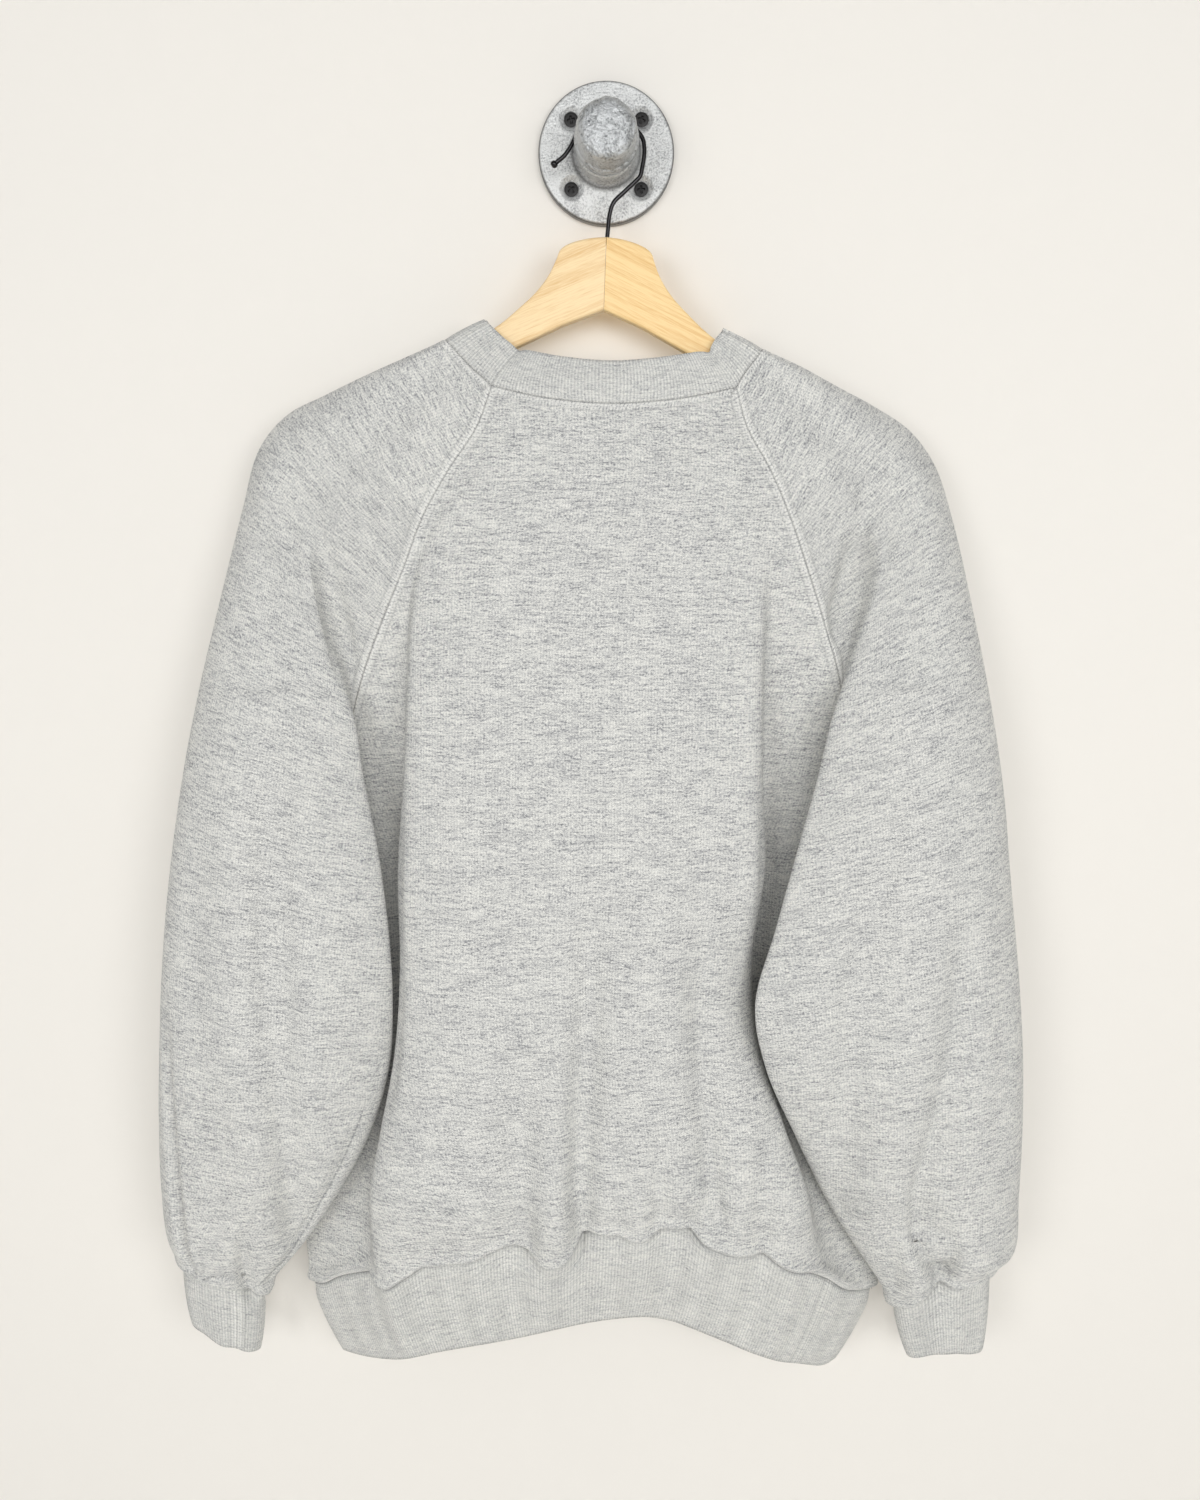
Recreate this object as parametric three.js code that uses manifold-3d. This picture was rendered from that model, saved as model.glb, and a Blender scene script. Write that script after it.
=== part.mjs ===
// Raglan crewneck sweatshirt in heather fleece. It hangs with its back to the viewer on a flat wooden
// hanger, whose wire hook sits over a short capped pipe on a screwed wall flange. Millimetres, +Z up,
// -Y towards the viewer. The origin is the middle of the flange's back face, on the wall. In the tables
// d is a distance out from the wall, so y is -d, and x and z are places in the wall's plane.
import * as THREE from "three";
import { mergeVertices } from "three/addons/utils/BufferGeometryUtils.js";
import Module from "manifold-3d";

const CLOTH = 2.0; // fleece wall
const RIB = 2.2; // doubled rib knit wall
const SEAM_TRIM = 0.2; // each panel stops this far short of its seam line
const COLLAR_HEIGHT = 28;

const YOKE_STEPS = 12; // rows of cloth from the neck to the underarm
const BODY_STEPS = 11; // from the underarm to the hem band
const SLEEVE_STEPS = 13; // from the underarm to the cuff
const YOKE_ROWS = 8; // the table row at the underarm, where each raglan seam ends

const table = (columns, rows) => {
  const names = columns.split(" ");
  return rows.map((row) => Object.fromEntries(names.map((name, i) => [name, row[i]])));
};

// The back panel's two halves, one row for each height. seam is the raglan seam down to the underarm and
// then the side seam, root the bottom of the deep fold beside the sleeve, and edge that fold's outer bend.
const BACK_LEFT = table("z seamX seamD rootX rootD edgeX edgeD", [
  [-151, -74, 38, -62, 40, -48, 42],
  [-178, -84, 43, -73, 45, -60, 47],
  [-205, -102, 47, -91, 49, -78, 51],
  [-235, -119, 50, -111, 51, -102, 55],
  [-268, -132, 52, -125, 52, -118, 57],
  [-302, -147, 50, -131, 48, -125, 59],
  [-338, -162, 44, -134, 43, -128, 61],
  [-375, -174, 36, -137, 38, -130, 63],
  [-415, -185, 27, -140, 34, -133, 65],
  [-470, -206, 22, -145, 32, -138, 67],
  [-530, -222, 19, -143, 32, -138, 69],
  [-590, -228, 19, -146, 34, -142, 71],
  [-650, -228, 20, -158, 38, -152, 74],
  [-705, -225, 23, -167, 44, -161, 77],
  [-768, -217, 27, -173, 57, -155, 70],
]);
const BACK_RIGHT = table("z seamX seamD rootX rootD edgeX edgeD", [
  [-152, 84, 38, 70, 40, 55, 42],
  [-178, 91, 43, 79, 45, 66, 47],
  [-205, 106, 47, 94, 49, 81, 51],
  [-235, 119, 50, 105, 52, 93, 55],
  [-268, 131, 51, 109, 53, 98, 57],
  [-302, 143, 49, 108, 50, 100, 60],
  [-338, 155, 44, 107, 46, 100, 62],
  [-375, 164, 36, 108, 40, 101, 64],
  [-415, 176, 27, 109, 36, 102, 65],
  [-470, 200, 22, 112, 34, 105, 65],
  [-530, 216, 19, 107, 33, 98, 62],
  [-590, 220, 19, 111, 34, 102, 62],
  [-650, 216, 20, 125, 37, 121, 68],
  [-705, 208, 23, 144, 44, 138, 76],
  [-782, 198, 28, 161, 56, 139, 72],
]);
// The middle of the back, with the wall side: the front raglan seams and the middle of the front.
const MIDDLE = table("backZ backD frontZ frontD frontLeft frontRight frontSeamZ frontSeamD", [
  [-163, 44, -238, 12, -72, 80, -185, 15],
  [-186, 48, -254, 9, -82, 88, -208, 12],
  [-208, 52, -272, 8, -98, 102, -234, 11],
  [-236, 57, -291, 7, -114, 116, -262, 10],
  [-268, 61, -312, 7, -130, 130, -292, 10],
  [-302, 65, -335, 7, -146, 143, -322, 10],
  [-338, 69, -360, 7, -160, 155, -353, 12],
  [-375, 73, -387, 7, -173, 166, -385, 17],
  [-415, 77, -415, 8, -185, 176, -415, 27],
  [-470, 81, -470, 8, -206, 200, -470, 22],
  [-530, 85, -530, 8, -222, 216, -530, 19],
  [-590, 88, -590, 8, -228, 220, -590, 19],
  [-648, 91, -650, 9, -228, 216, -650, 20],
  [-696, 92, -705, 10, -225, 208, -705, 23],
  [-722, 82, -756, 13, -217, 198, -775, 27],
]);
// Each sleeve from the neck to its cuff. fold is the bottom of the crease behind the armpit, edge its outer
// bend, bulge how far the sleeve stands out, and out its outer silhouette: the shoulder line, then the
// sleeve's outside. round is half the thickness of that outer bend, and wallOut and wallIn are the wall
// side's two depths.
const SLEEVE_LEFT = table("foldX foldZ foldD edgeX edgeZ edgeD bulge outX outZ outD round wallOut wallIn", [
  [-81, -145, 37, -88, -139, 36, 34, -105, -121, 25, 10.5, 13.5, 13.5],
  [-93, -169, 43, -102, -160, 42, 38, -129, -131, 24, 10.5, 11, 11],
  [-112, -193, 47, -122, -181, 46, 40, -156, -142, 22, 10, 9, 10],
  [-133, -219, 50, -146, -205, 50, 43, -185, -155, 20, 10, 8, 9],
  [-152, -250, 51, -168, -236, 52, 46, -212, -168, 18, 10, 7, 8],
  [-176, -272, 49, -190, -254, 55, 50, -231, -190, 19, 10, 7, 8],
  [-170, -330, 45, -180, -316, 57, 60, -243, -230, 23, 12, 7, 9],
  [-171, -374, 47, -165, -368, 60, 68, -257, -283, 29, 15, 8, 12],
  [-173, -411, 44, -161, -402, 60, 76, -273, -345, 35, 18, 9, 18],
  [-164, -457, 46, -153, -449, 62, 82, -286, -405, 40, 20, 11, 29],
  [-153, -512, 52, -147, -506, 64, 87, -297, -470, 44, 21, 13, 37],
  [-147, -558, 56, -146, -551, 65, 90, -305, -535, 46, 22, 14, 41],
  [-149, -604, 56, -151, -600, 64, 91, -310, -595, 47, 22, 14, 41],
  [-163, -654, 55, -166, -651, 63, 89, -314, -650, 46, 21, 14, 39],
  [-189, -705, 53, -192, -702, 62, 84, -316, -700, 44, 20, 15, 35],
  [-223, -754, 49, -226, -752, 57, 76, -314, -742, 42, 18, 17, 30],
  [-248, -779, 44, -251, -777, 50, 60, -306, -760, 38, 14, 21, 27],
]);
const SLEEVE_RIGHT = table("foldX foldZ foldD edgeX edgeZ edgeD bulge outX outZ outD round wallOut wallIn", [
  [87, -147, 37, 91, -141, 36, 34, 102, -127, 25, 10.5, 13.5, 13.5],
  [99, -169, 43, 107, -160, 42, 38, 126, -137, 24, 10.5, 11, 11],
  [115, -194, 47, 124, -183, 46, 40, 152, -150, 22, 10, 9, 10],
  [131, -220, 50, 143, -206, 50, 43, 178, -163, 20, 10, 8, 9],
  [148, -250, 50, 162, -234, 52, 46, 202, -178, 18, 10, 7, 8],
  [166, -272, 45, 178, -256, 56, 50, 219, -200, 19, 10, 7, 8],
  [159, -331, 44, 163, -320, 58, 62, 232, -238, 24, 12, 7, 9],
  [157, -371, 46, 148, -364, 63, 70, 245, -292, 30, 15, 8, 12],
  [159, -410, 44, 139, -402, 67, 78, 258, -352, 36, 18, 9, 18],
  [147, -455, 48, 127, -448, 71, 84, 268, -410, 41, 20, 11, 29],
  [124, -508, 62, 112, -505, 77, 90, 276, -475, 45, 21, 13, 38],
  [103, -558, 77, 99, -553, 84, 94, 284, -540, 47, 22, 14, 44],
  [111, -606, 68, 109, -602, 79, 94, 290, -600, 47, 22, 14, 43],
  [131, -657, 58, 133, -654, 70, 90, 293, -655, 46, 21, 14, 40],
  [155, -708, 53, 158, -706, 63, 84, 294, -708, 44, 20, 15, 35],
  [185, -757, 49, 188, -755, 57, 77, 293, -752, 42, 18, 17, 30],
  [209, -789, 44, 212, -787, 50, 61, 278, -768, 38, 14, 21, 27],
]);
// How far across the sleeve, from its seam, the wall side steps back over the edge of the body.
const WALL_LEFT = { out: 0.64, in: 0.3 };
const WALL_RIGHT = { out: 0.73, in: 0.46 };
// The underarm seam of each sleeve, one row for each sleeve row from the underarm down.
const UNDERARM_LEFT = table("x z d", [
  [-185, -415, 27], [-176, -463, 34], [-161, -516, 41], [-151, -563, 49], [-152, -607, 49],
  [-166, -657, 48], [-192, -707, 46], [-225, -755, 42], [-249, -780, 38],
]);
const UNDERARM_RIGHT = table("x z d", [
  [176, -415, 27], [167, -460, 36], [142, -512, 50], [111, -562, 72], [118, -609, 60],
  [135, -659, 50], [158, -709, 46], [187, -758, 42], [210, -790, 38],
]);
// Which way the collar stands on the neck seam, from the middle of the back round to the middle of the front.
const COLLAR_LEAN = table("across out up", [
  [0, -6, 27],
  [17, -1, 21],
  [24, 0, 12],
  [16, 1, 22],
  [0, 5, 27],
]);
const HEM_EDGE = table("x z", [
  [-197, -847], [-178, -846], [-157, -841], [-120, -826], [-60, -812], [0, -798.5], [38, -797], [75, -811.5],
  [110, -829.5], [140, -845], [162, -855], [173, -853],
]);
// How each cuff hangs from its seam: how far its outer and inner edges move across and drop, and how thick
// its end is compared with its seam.
const CUFF_LEFT = { outerX: 3, outerZ: -48, innerX: -5, innerZ: -50, depth: 0.78 };
const CUFF_RIGHT = { outerX: -1, outerZ: -64, innerX: 12, innerZ: -46, depth: 0.78 };

// Soft folds of the hanging cloth: a line from its top to its foot, its half width, and how far it stands out
// (+) or sinks in (-) at its strongest. fade is the length over which it grows from nothing.
const BACK_FOLDS = table("topX topZ footX footZ width out fade", [
  [-8, -450, -17, -740, 12, -6, 160],
  [-64, -560, -56, -745, 15, -4, 110],
  [60, -330, 72, -735, 20, -5, 190],
  [33, -640, 41, -735, 9, -3, 60],
  [104, -650, 105, -745, 10, -3, 60],
  [-105, -520, -112, -750, 34, 4, 180],
  [-36, -600, -37, -745, 17, 5, 100],
]);
const LEFT_SLEEVE_FOLDS = table("topX topZ footX footZ width out fade", [
  [-226, -340, -216, -700, 16, -5, 150],
  [-205, -195, -222, -330, 22, -4, 60],
  [-262, -560, -268, -740, 18, -4, 90],
  [-240, -690, -252, -775, 10, -4, 40],
]);
const RIGHT_SLEEVE_FOLDS = table("topX topZ footX footZ width out fade", [
  [184, -420, 160, -690, 17, -5, 120],
  [246, -480, 222, -700, 20, -5, 100],
  [222, -690, 240, -775, 14, -8, 50],
  [206, -215, 196, -330, 20, -4, 60],
]);
const FRONT_FOLDS = table("topX topZ footX footZ width out fade", [
  [-118, -360, -126, -745, 22, -7, 150],
  [-40, -430, -48, -745, 26, -6, 170],
  [46, -410, 40, -745, 24, -7, 160],
  [112, -350, 118, -745, 20, -6, 150],
]);

const at = (x, d, z) => new THREE.Vector3(x, -d, z);
const mix = (p, q, t) => new THREE.Vector3().lerpVectors(p, q, t);
const lerp = THREE.MathUtils.lerp;
const smooth = (t) => THREE.MathUtils.smoothstep(t, 0, 1);

// One row of the back, from its left seam to its right one.
const backRow = (i) => {
  const left = BACK_LEFT[i];
  const right = BACK_RIGHT[i];
  const middle = MIDDLE[i];
  const middleX = (left.edgeX + right.edgeX) / 2;
  const half = (side) => {
    const seam = at(side.seamX, side.seamD, side.z);
    const droop = THREE.MathUtils.lerp(2, 1.2, smooth((i - 9) / 5));
    const dip = (x) => {
      const share = (x - middleX) / (side.seamX - middleX);
      return lerp(middle.backZ, side.z, share ** droop);
    };
    const root = at(side.rootX, side.rootD, dip(side.rootX));
    const edge = at(side.edgeX, side.edgeD, dip(side.edgeX));
    const bulkX = lerp(side.edgeX, middleX, 0.26);
    const bulk = at(bulkX, lerp(side.edgeD, middle.backD, 0.8), dip(bulkX));
    return [seam, mix(seam, root, 0.5), root, edge, bulk];
  };
  return [...half(left), at(middleX, middle.backD, middle.backZ), ...half(right).reverse()];
};

// One row of the front, from its right seam to its left one, as a ring round the wearer runs.
const frontRow = (i) => {
  const middle = MIDDLE[i];
  const side = (back, x) => {
    const onBody = i >= YOKE_ROWS;
    const seam = onBody ? at(back.seamX, back.seamD, back.z) : at(x, middle.frontSeamD, middle.frontSeamZ);
    const part = (share, d) => at(seam.x * share, d, lerp(middle.frontZ, seam.z, share ** 2));
    const lift = lerp(middle.frontD, -seam.y, 0.25);
    return [seam, part(0.9, lift), part(0.6, middle.frontD)];
  };
  const left = side(BACK_LEFT[i], middle.frontLeft);
  const right = side(BACK_RIGHT[i], middle.frontRight);
  return [...right, at(0, middle.frontD, middle.frontZ), ...left.reverse()];
};

// One row of a sleeve, from its back seam round the outside to its front seam.
const sleeveRow = (sleeve, back, underarm, frontSide, wallShare) => (i) => {
  const row = sleeve[i];
  const seam = underarm[Math.max(0, i - YOKE_ROWS)];
  const onYoke = i < YOKE_ROWS;
  const middle = MIDDLE[Math.min(i, YOKE_ROWS)];
  const backSeam = onYoke ? at(back[i].seamX, back[i].seamD, back[i].z) : at(seam.x, seam.d, seam.z);
  const frontSeam = onYoke ? at(middle[frontSide], middle.frontSeamD, middle.frontSeamZ) : backSeam.clone();
  const edge = at(row.edgeX, row.edgeD, row.edgeZ);
  const out = at(row.outX, row.outD, row.outZ);
  const across = (from, share, d) => at(lerp(from.x, out.x, share), d, lerp(from.z, out.z, share));
  const turn = 1 - 0.45 * row.round / Math.max(edge.distanceTo(out), 1);
  return [
    backSeam,
    at(row.foldX, row.foldD, row.foldZ),
    edge,
    across(edge, 0.32, lerp(row.edgeD, row.bulge, 0.85)),
    across(edge, 0.68, lerp(row.outD + row.round, row.bulge, 0.85)),
    across(edge, turn, row.outD + row.round),
    out,
    across(frontSeam, turn, row.outD - row.round),
    across(frontSeam, wallShare.out, row.wallOut),
    across(frontSeam, wallShare.in, row.wallIn),
    frontSeam,
  ];
};

const BACK_SPANS = [2, 2, 3, 3, 4, 4, 3, 3, 2, 2];
const FRONT_SPANS = [2, 3, 3, 3, 3, 2];
const SLEEVE_SPANS = [2, 2, 3, 3, 2, 2, 2, 2, 2, 2];

// A sheet through control rows. before and after are the neighbour panel's points next to each end of a row,
// so that the cloth runs smoothly over its seams.
const lineThrough = (points) => {
  const curve = new THREE.CatmullRomCurve3(points);
  return (level) => curve.getPoint(level / (points.length - 1));
};
const seamThrough = (points) => {
  const upper = lineThrough(points.slice(0, YOKE_ROWS + 1));
  const lower = lineThrough(points.slice(YOKE_ROWS));
  return (level) => (level <= YOKE_ROWS ? upper(level) : lower(level - YOKE_ROWS));
};
const sheet = (rows, before, after, levels, spans) => {
  const lastColumn = rows[0].length - 1;
  const columns = rows[0].map((_, c) => {
    const points = rows.map((row) => row[c]);
    return c === 0 || c === lastColumn ? seamThrough(points) : lineThrough(points);
  });
  const lines = [lineThrough(before), ...columns, lineThrough(after)];
  return levels.map((level) => {
    const across = new THREE.CatmullRomCurve3(lines.map((line) => line(level)));
    const points = [];
    spans.forEach((steps, span) => {
      for (let s = 0; s < steps; s++) {
        points.push(across.getPoint((1 + span + s / steps) / (columns.length + 1)));
      }
    });
    points.push(across.getPoint(columns.length / (columns.length + 1)));
    return points;
  });
};

const levelsOf = (rows, yokeSteps, lowerSteps) => {
  const levels = [];
  for (let s = 0; s < yokeSteps; s++) levels.push((s / yokeSteps) * YOKE_ROWS);
  for (let s = 0; s <= lowerSteps; s++) {
    levels.push(YOKE_ROWS + (s / lowerSteps) * (rows - 1 - YOKE_ROWS));
  }
  return levels;
};

const backRows = MIDDLE.map((_, i) => backRow(i));
const frontRows = MIDDLE.map((_, i) => frontRow(i));
const leftRow = sleeveRow(SLEEVE_LEFT, BACK_LEFT, UNDERARM_LEFT, "frontLeft", WALL_LEFT);
const rightRow = sleeveRow(SLEEVE_RIGHT, BACK_RIGHT, UNDERARM_RIGHT, "frontRight", WALL_RIGHT);
const leftRows = SLEEVE_LEFT.map((_, i) => leftRow(i));
const rightRows = SLEEVE_RIGHT.map((_, i) => rightRow(i));

// Beside a seam the cloth follows the sleeve above the underarm and the other body panel below it.
const beside = (i, sleeveRows, sleevePoint, bodyRows, bodyPoint) => {
  const onSleeve = sleeveRows[Math.min(i, YOKE_ROWS)].at(sleevePoint);
  return mix(onSleeve, bodyRows[i].at(bodyPoint), smooth((i - 5) / 4));
};
const bodyLevels = levelsOf(MIDDLE.length, YOKE_STEPS, BODY_STEPS);
const sleeveLevels = levelsOf(SLEEVE_LEFT.length, YOKE_STEPS, SLEEVE_STEPS);
const backGrid = sheet(
  backRows,
  MIDDLE.map((_, i) => beside(i, leftRows, 1, frontRows, -2)),
  MIDDLE.map((_, i) => beside(i, rightRows, 1, frontRows, 1)),
  bodyLevels, BACK_SPANS);
const frontGrid = sheet(
  frontRows,
  MIDDLE.map((_, i) => beside(i, rightRows, -2, backRows, -2)),
  MIDDLE.map((_, i) => beside(i, leftRows, -2, backRows, 1)),
  bodyLevels, FRONT_SPANS);
const sleeveGrid = (rows, backPoint, frontPoint) => {
  const onBody = (i, panel, index) => panel[Math.min(i, YOKE_ROWS)].at(index);
  const below = (i) => smooth((i - 5) / 4);
  return sheet(
    rows,
    rows.map((row, i) => mix(onBody(i, backRows, backPoint), row.at(-2), below(i))),
    rows.map((row, i) => mix(onBody(i, frontRows, frontPoint), row.at(1), below(i))),
    sleeveLevels, SLEEVE_SPANS);
};
const rightGrid = sleeveGrid(rightRows, -2, 1);
const leftGrid = sleeveGrid(leftRows, 1, -2).map((row) => row.reverse());

// How far a panel's folds move one of its points.
const foldHeight = (folds, p) => folds.reduce((sum, fold) => {
  const along = (fold.topZ - p.z) / (fold.topZ - fold.footZ);
  if (along < 0 || along > 1.12) return sum;
  const x = lerp(fold.topX, fold.footX, Math.min(along, 1));
  const off = (p.x - x) / fold.width;
  const grown = smooth(Math.min(1, (fold.topZ - p.z) / fold.fade));
  return sum + fold.out * grown * Math.exp(-off * off);
}, 0);
const gridNormals = (grid, wrap) => grid.map((row, j) => row.map((_, i) => {
  const n = row.length;
  const left = wrap ? row[(i + n - 1) % n] : row[Math.max(i - 1, 0)];
  const right = wrap ? row[(i + 1) % n] : row[Math.min(i + 1, n - 1)];
  const up = grid[Math.max(j - 1, 0)][i];
  const down = grid[Math.min(j + 1, grid.length - 1)][i];
  return new THREE.Vector3().crossVectors(down.clone().sub(up), right.clone().sub(left)).normalize();
}));
// Moves a panel's points along their normals by its folds. facing is -1 where the cloth that folds faces the
// viewer and 1 where it faces the wall.
const fold = (grid, folds, facing) => {
  const normals = gridNormals(grid, false);
  const lastRow = grid.length - 1;
  return grid.map((row, j) => row.map((p, i) => {
    const normal = normals[j][i];
    const faces = THREE.MathUtils.clamp(normal.y * facing * 1.6, 0, 1);
    const held = Math.min(1, i / 2, (row.length - 1 - i) / 2, j / 2, (lastRow - j) / 1.5);
    return p.clone().addScaledVector(normal, foldHeight(folds, p) * faces * held);
  }));
};
const panels = {
  back: { grid: fold(backGrid, BACK_FOLDS, -1), wall: CLOTH },
  front: { grid: fold(frontGrid, FRONT_FOLDS, 1), wall: CLOTH },
  sleeve_left: { grid: fold(leftGrid, LEFT_SLEEVE_FOLDS, -1), wall: CLOTH },
  sleeve_right: { grid: fold(rightGrid, RIGHT_SLEEVE_FOLDS, -1), wall: CLOTH },
};

// The rib bands are closed rings that start on the panels' own edges.
const ringOf = (...rows) => rows.flatMap((row) => row.slice(0, -1));
const lastOf = (grid) => grid[grid.length - 1];
const neckRing = ringOf(
  panels.back.grid[0], panels.sleeve_right.grid[0], panels.front.grid[0], panels.sleeve_left.grid[0]);
const hemRing = ringOf(lastOf(panels.back.grid), lastOf(panels.front.grid));
const band = (ring, endOf, swell) => [0, 0.5, 1].map((t) => ring.map((p, i) => {
  const q = mix(p, endOf(p, i), t);
  const middle = ring.reduce((sum, r) => sum.add(r), new THREE.Vector3()).divideScalar(ring.length);
  const outward = p.clone().sub(middle).setZ(0).normalize();
  return q.addScaledVector(outward, swell * 4 * t * (1 - t));
}));

const leanCurve = new THREE.CatmullRomCurve3(COLLAR_LEAN.map((row) => at(row.across, row.out, row.up)));
// The share of the way from the middle of the back to the middle of the front at each point of the neck.
const sharesOver = (spans, turn, from, middle, to) => spans.flatMap((steps, span) => {
  const shareAt = (c) => (c <= turn
    ? lerp(from, middle, c / turn)
    : lerp(middle, to, (c - turn) / (spans.length - turn)));
  return Array.from({ length: steps }, (_, s) => shareAt(span + s / steps));
});
const neckShares = [
  ...sharesOver(BACK_SPANS, 5, 0.25, 0, 0.25),
  ...sharesOver(SLEEVE_SPANS, 6, 0.25, 0.5, 0.75),
  ...sharesOver(FRONT_SPANS, 3, 0.75, 1, 0.75),
  ...sharesOver([...SLEEVE_SPANS].reverse(), 4, 0.75, 0.5, 0.25),
];
const collarEnd = (p, i) => {
  const lean = leanCurve.getPoint(neckShares[i]);
  lean.setLength(COLLAR_HEIGHT);
  lean.x *= -Math.sign(p.x) * Math.min(1, Math.abs(p.x) / 30);
  return p.clone().add(lean);
};
// The hem band draws in below its seam, across and towards the wall, and ends on the curve of HEM_EDGE.
const HEM_SHRINK = 0.89;
const HEM_SHIFT = -3.5;
const HEM_FLATTEN = 0.66;
const HEM_OFF_WALL = 6;
const hemPoints = new THREE.CatmullRomCurve3(HEM_EDGE.map((row) => at(row.x, 0, row.z))).getPoints(60);
const hemDrop = (x) => {
  const next = hemPoints.findIndex((p) => p.x >= x);
  if (next < 0) return hemPoints[hemPoints.length - 1].z;
  if (next === 0) return hemPoints[0].z;
  const [a, b] = [hemPoints[next - 1], hemPoints[next]];
  return lerp(a.z, b.z, (x - a.x) / (b.x - a.x));
};
const hemEnd = (p) => {
  const x = p.x * HEM_SHRINK + HEM_SHIFT;
  return at(x, HEM_OFF_WALL - p.y * HEM_FLATTEN, hemDrop(x));
};
const cuffEnd = (ring, cuff) => {
  const xs = ring.map((p) => p.x).sort((a, b) => Math.abs(a) - Math.abs(b));
  const innerX = xs[0];
  const outerX = xs[xs.length - 1];
  const middleY = ring.reduce((sum, p) => sum + p.y, 0) / ring.length;
  return (p) => {
    const share = (p.x - innerX) / (outerX - innerX);
    const x = p.x + lerp(cuff.innerX, cuff.outerX, share);
    const z = p.z + lerp(cuff.innerZ, cuff.outerZ, share);
    return new THREE.Vector3(x, middleY + (p.y - middleY) * cuff.depth, z);
  };
};
const cuffGrid = (sleeve, cuff) => {
  const ring = ringOf(lastOf(sleeve.grid));
  return band(ring, cuffEnd(ring, cuff), 1.5);
};
const bands = {
  collar: { grid: band(neckRing, collarEnd, 1.5).reverse(), wall: RIB, wrap: true },
  hem_band: { grid: band(hemRing, hemEnd, 2), wall: RIB, wrap: true },
  cuff_left: { grid: cuffGrid(panels.sleeve_left, CUFF_LEFT), wall: RIB, wrap: true },
  cuff_right: { grid: cuffGrid(panels.sleeve_right, CUFF_RIGHT), wall: RIB, wrap: true },
};
const cloths = { ...panels, ...bands };

// Where panels meet they share one normal, so that their cut edges stand parallel along the seam. At the
// underarm point, the crotch between body and sleeve, it points down.
const keyOf = (p) => p.toArray().map((v) => Math.round(v * 100)).join();
const shared = new Map();
for (const cloth of Object.values(cloths)) {
  cloth.normals = gridNormals(cloth.grid, cloth.wrap);
  cloth.grid.forEach((row, j) => row.forEach((p, i) => {
    const sum = shared.get(keyOf(p)) ?? new THREE.Vector3();
    shared.set(keyOf(p), sum.add(cloth.normals[j][i]));
  }));
}
for (const seam of [UNDERARM_LEFT[0], UNDERARM_RIGHT[0]])
  shared.set(keyOf(at(seam.x, seam.d, seam.z)), new THREE.Vector3(0, 0, -1));

// A closed wall of cloth: the outer points, the same points moved in by the wall's thickness, and the rim
// between them.
const wallGeometry = ({ grid, wall, wrap }) => {
  const rows = grid.length;
  const cols = grid[0].length;
  const normalAt = (j, i) => shared.get(keyOf(grid[j][i])).clone().normalize();
  const trim = (p, next, normal) => {
    const along = next.clone().sub(p);
    along.addScaledVector(normal, -along.dot(normal)).setLength(SEAM_TRIM);
    return along;
  };
  const positions = [];
  for (const inward of [0, wall]) {
    for (let j = 0; j < rows; j++) {
      for (let i = 0; i < cols; i++) {
        const p = grid[j][i].clone();
        const normal = normalAt(j, i);
        if (j === 0) p.add(trim(grid[0][i], grid[1][i], normal));
        if (j === rows - 1) p.add(trim(grid[j][i], grid[j - 1][i], normal));
        if (!wrap && i === 0) p.add(trim(grid[j][0], grid[j][1], normal));
        if (!wrap && i === cols - 1) p.add(trim(grid[j][i], grid[j][i - 1], normal));
        positions.push(...p.addScaledVector(normal, -inward).toArray());
      }
    }
  }
  const outer = (j, i) => j * cols + (wrap ? i % cols : i);
  const inner = (j, i) => rows * cols + outer(j, i);
  const index = [];
  const quad = (a, b, c, d) => index.push(a, b, c, a, c, d);
  const steps = wrap ? cols : cols - 1;
  for (let j = 0; j < rows - 1; j++) {
    for (let i = 0; i < steps; i++) {
      quad(outer(j, i), outer(j + 1, i), outer(j + 1, i + 1), outer(j, i + 1));
      quad(inner(j, i), inner(j, i + 1), inner(j + 1, i + 1), inner(j + 1, i));
    }
    if (wrap) continue;
    quad(outer(j, 0), inner(j, 0), inner(j + 1, 0), outer(j + 1, 0));
    quad(outer(j, cols - 1), outer(j + 1, cols - 1), inner(j + 1, cols - 1), inner(j, cols - 1));
  }
  for (let i = 0; i < steps; i++) {
    quad(outer(0, i), outer(0, i + 1), inner(0, i + 1), inner(0, i));
    quad(outer(rows - 1, i), inner(rows - 1, i), inner(rows - 1, i + 1), outer(rows - 1, i + 1));
  }
  const geometry = new THREE.BufferGeometry();
  geometry.setAttribute("position", new THREE.Float32BufferAttribute(positions, 3));
  geometry.setIndex(index);
  return geometry;
};

// The flat wooden hanger, half by half, before it tilts. centreD is its middle layer's distance out.
const HANGER_THICK = 10;
const HANGER_EDGE = 2;
const HANGER_TILT = THREE.MathUtils.degToRad(2.1);
const HANGER = table("x topZ bottomZ centreD", [
  [0.15, -58, -103, 26],
  [10, -59, -107, 26],
  [20, -61.5, -111, 26],
  [27, -65.5, -114, 26],
  [31, -72, -116, 26],
  [36, -82, -118.5, 26],
  [43, -92, -122, 26],
  [53, -102, -127, 26],
  [73, -118.3, -137.5, 26],
  [105, -132, -155, 24.6],
  [145, -149, -172, 23],
  [175, -162.8, -186, 21],
  [195, -173, -195, 19.3],
  [208, -183, -201, 18.5],
  [212, -189, -202, 18.2],
]);
const SHANK_BORE = 1.8;
const SHANK_FOOT = -84;
const WIRE_RADIUS = 1.4;
const HOOK_D = 26;
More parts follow.
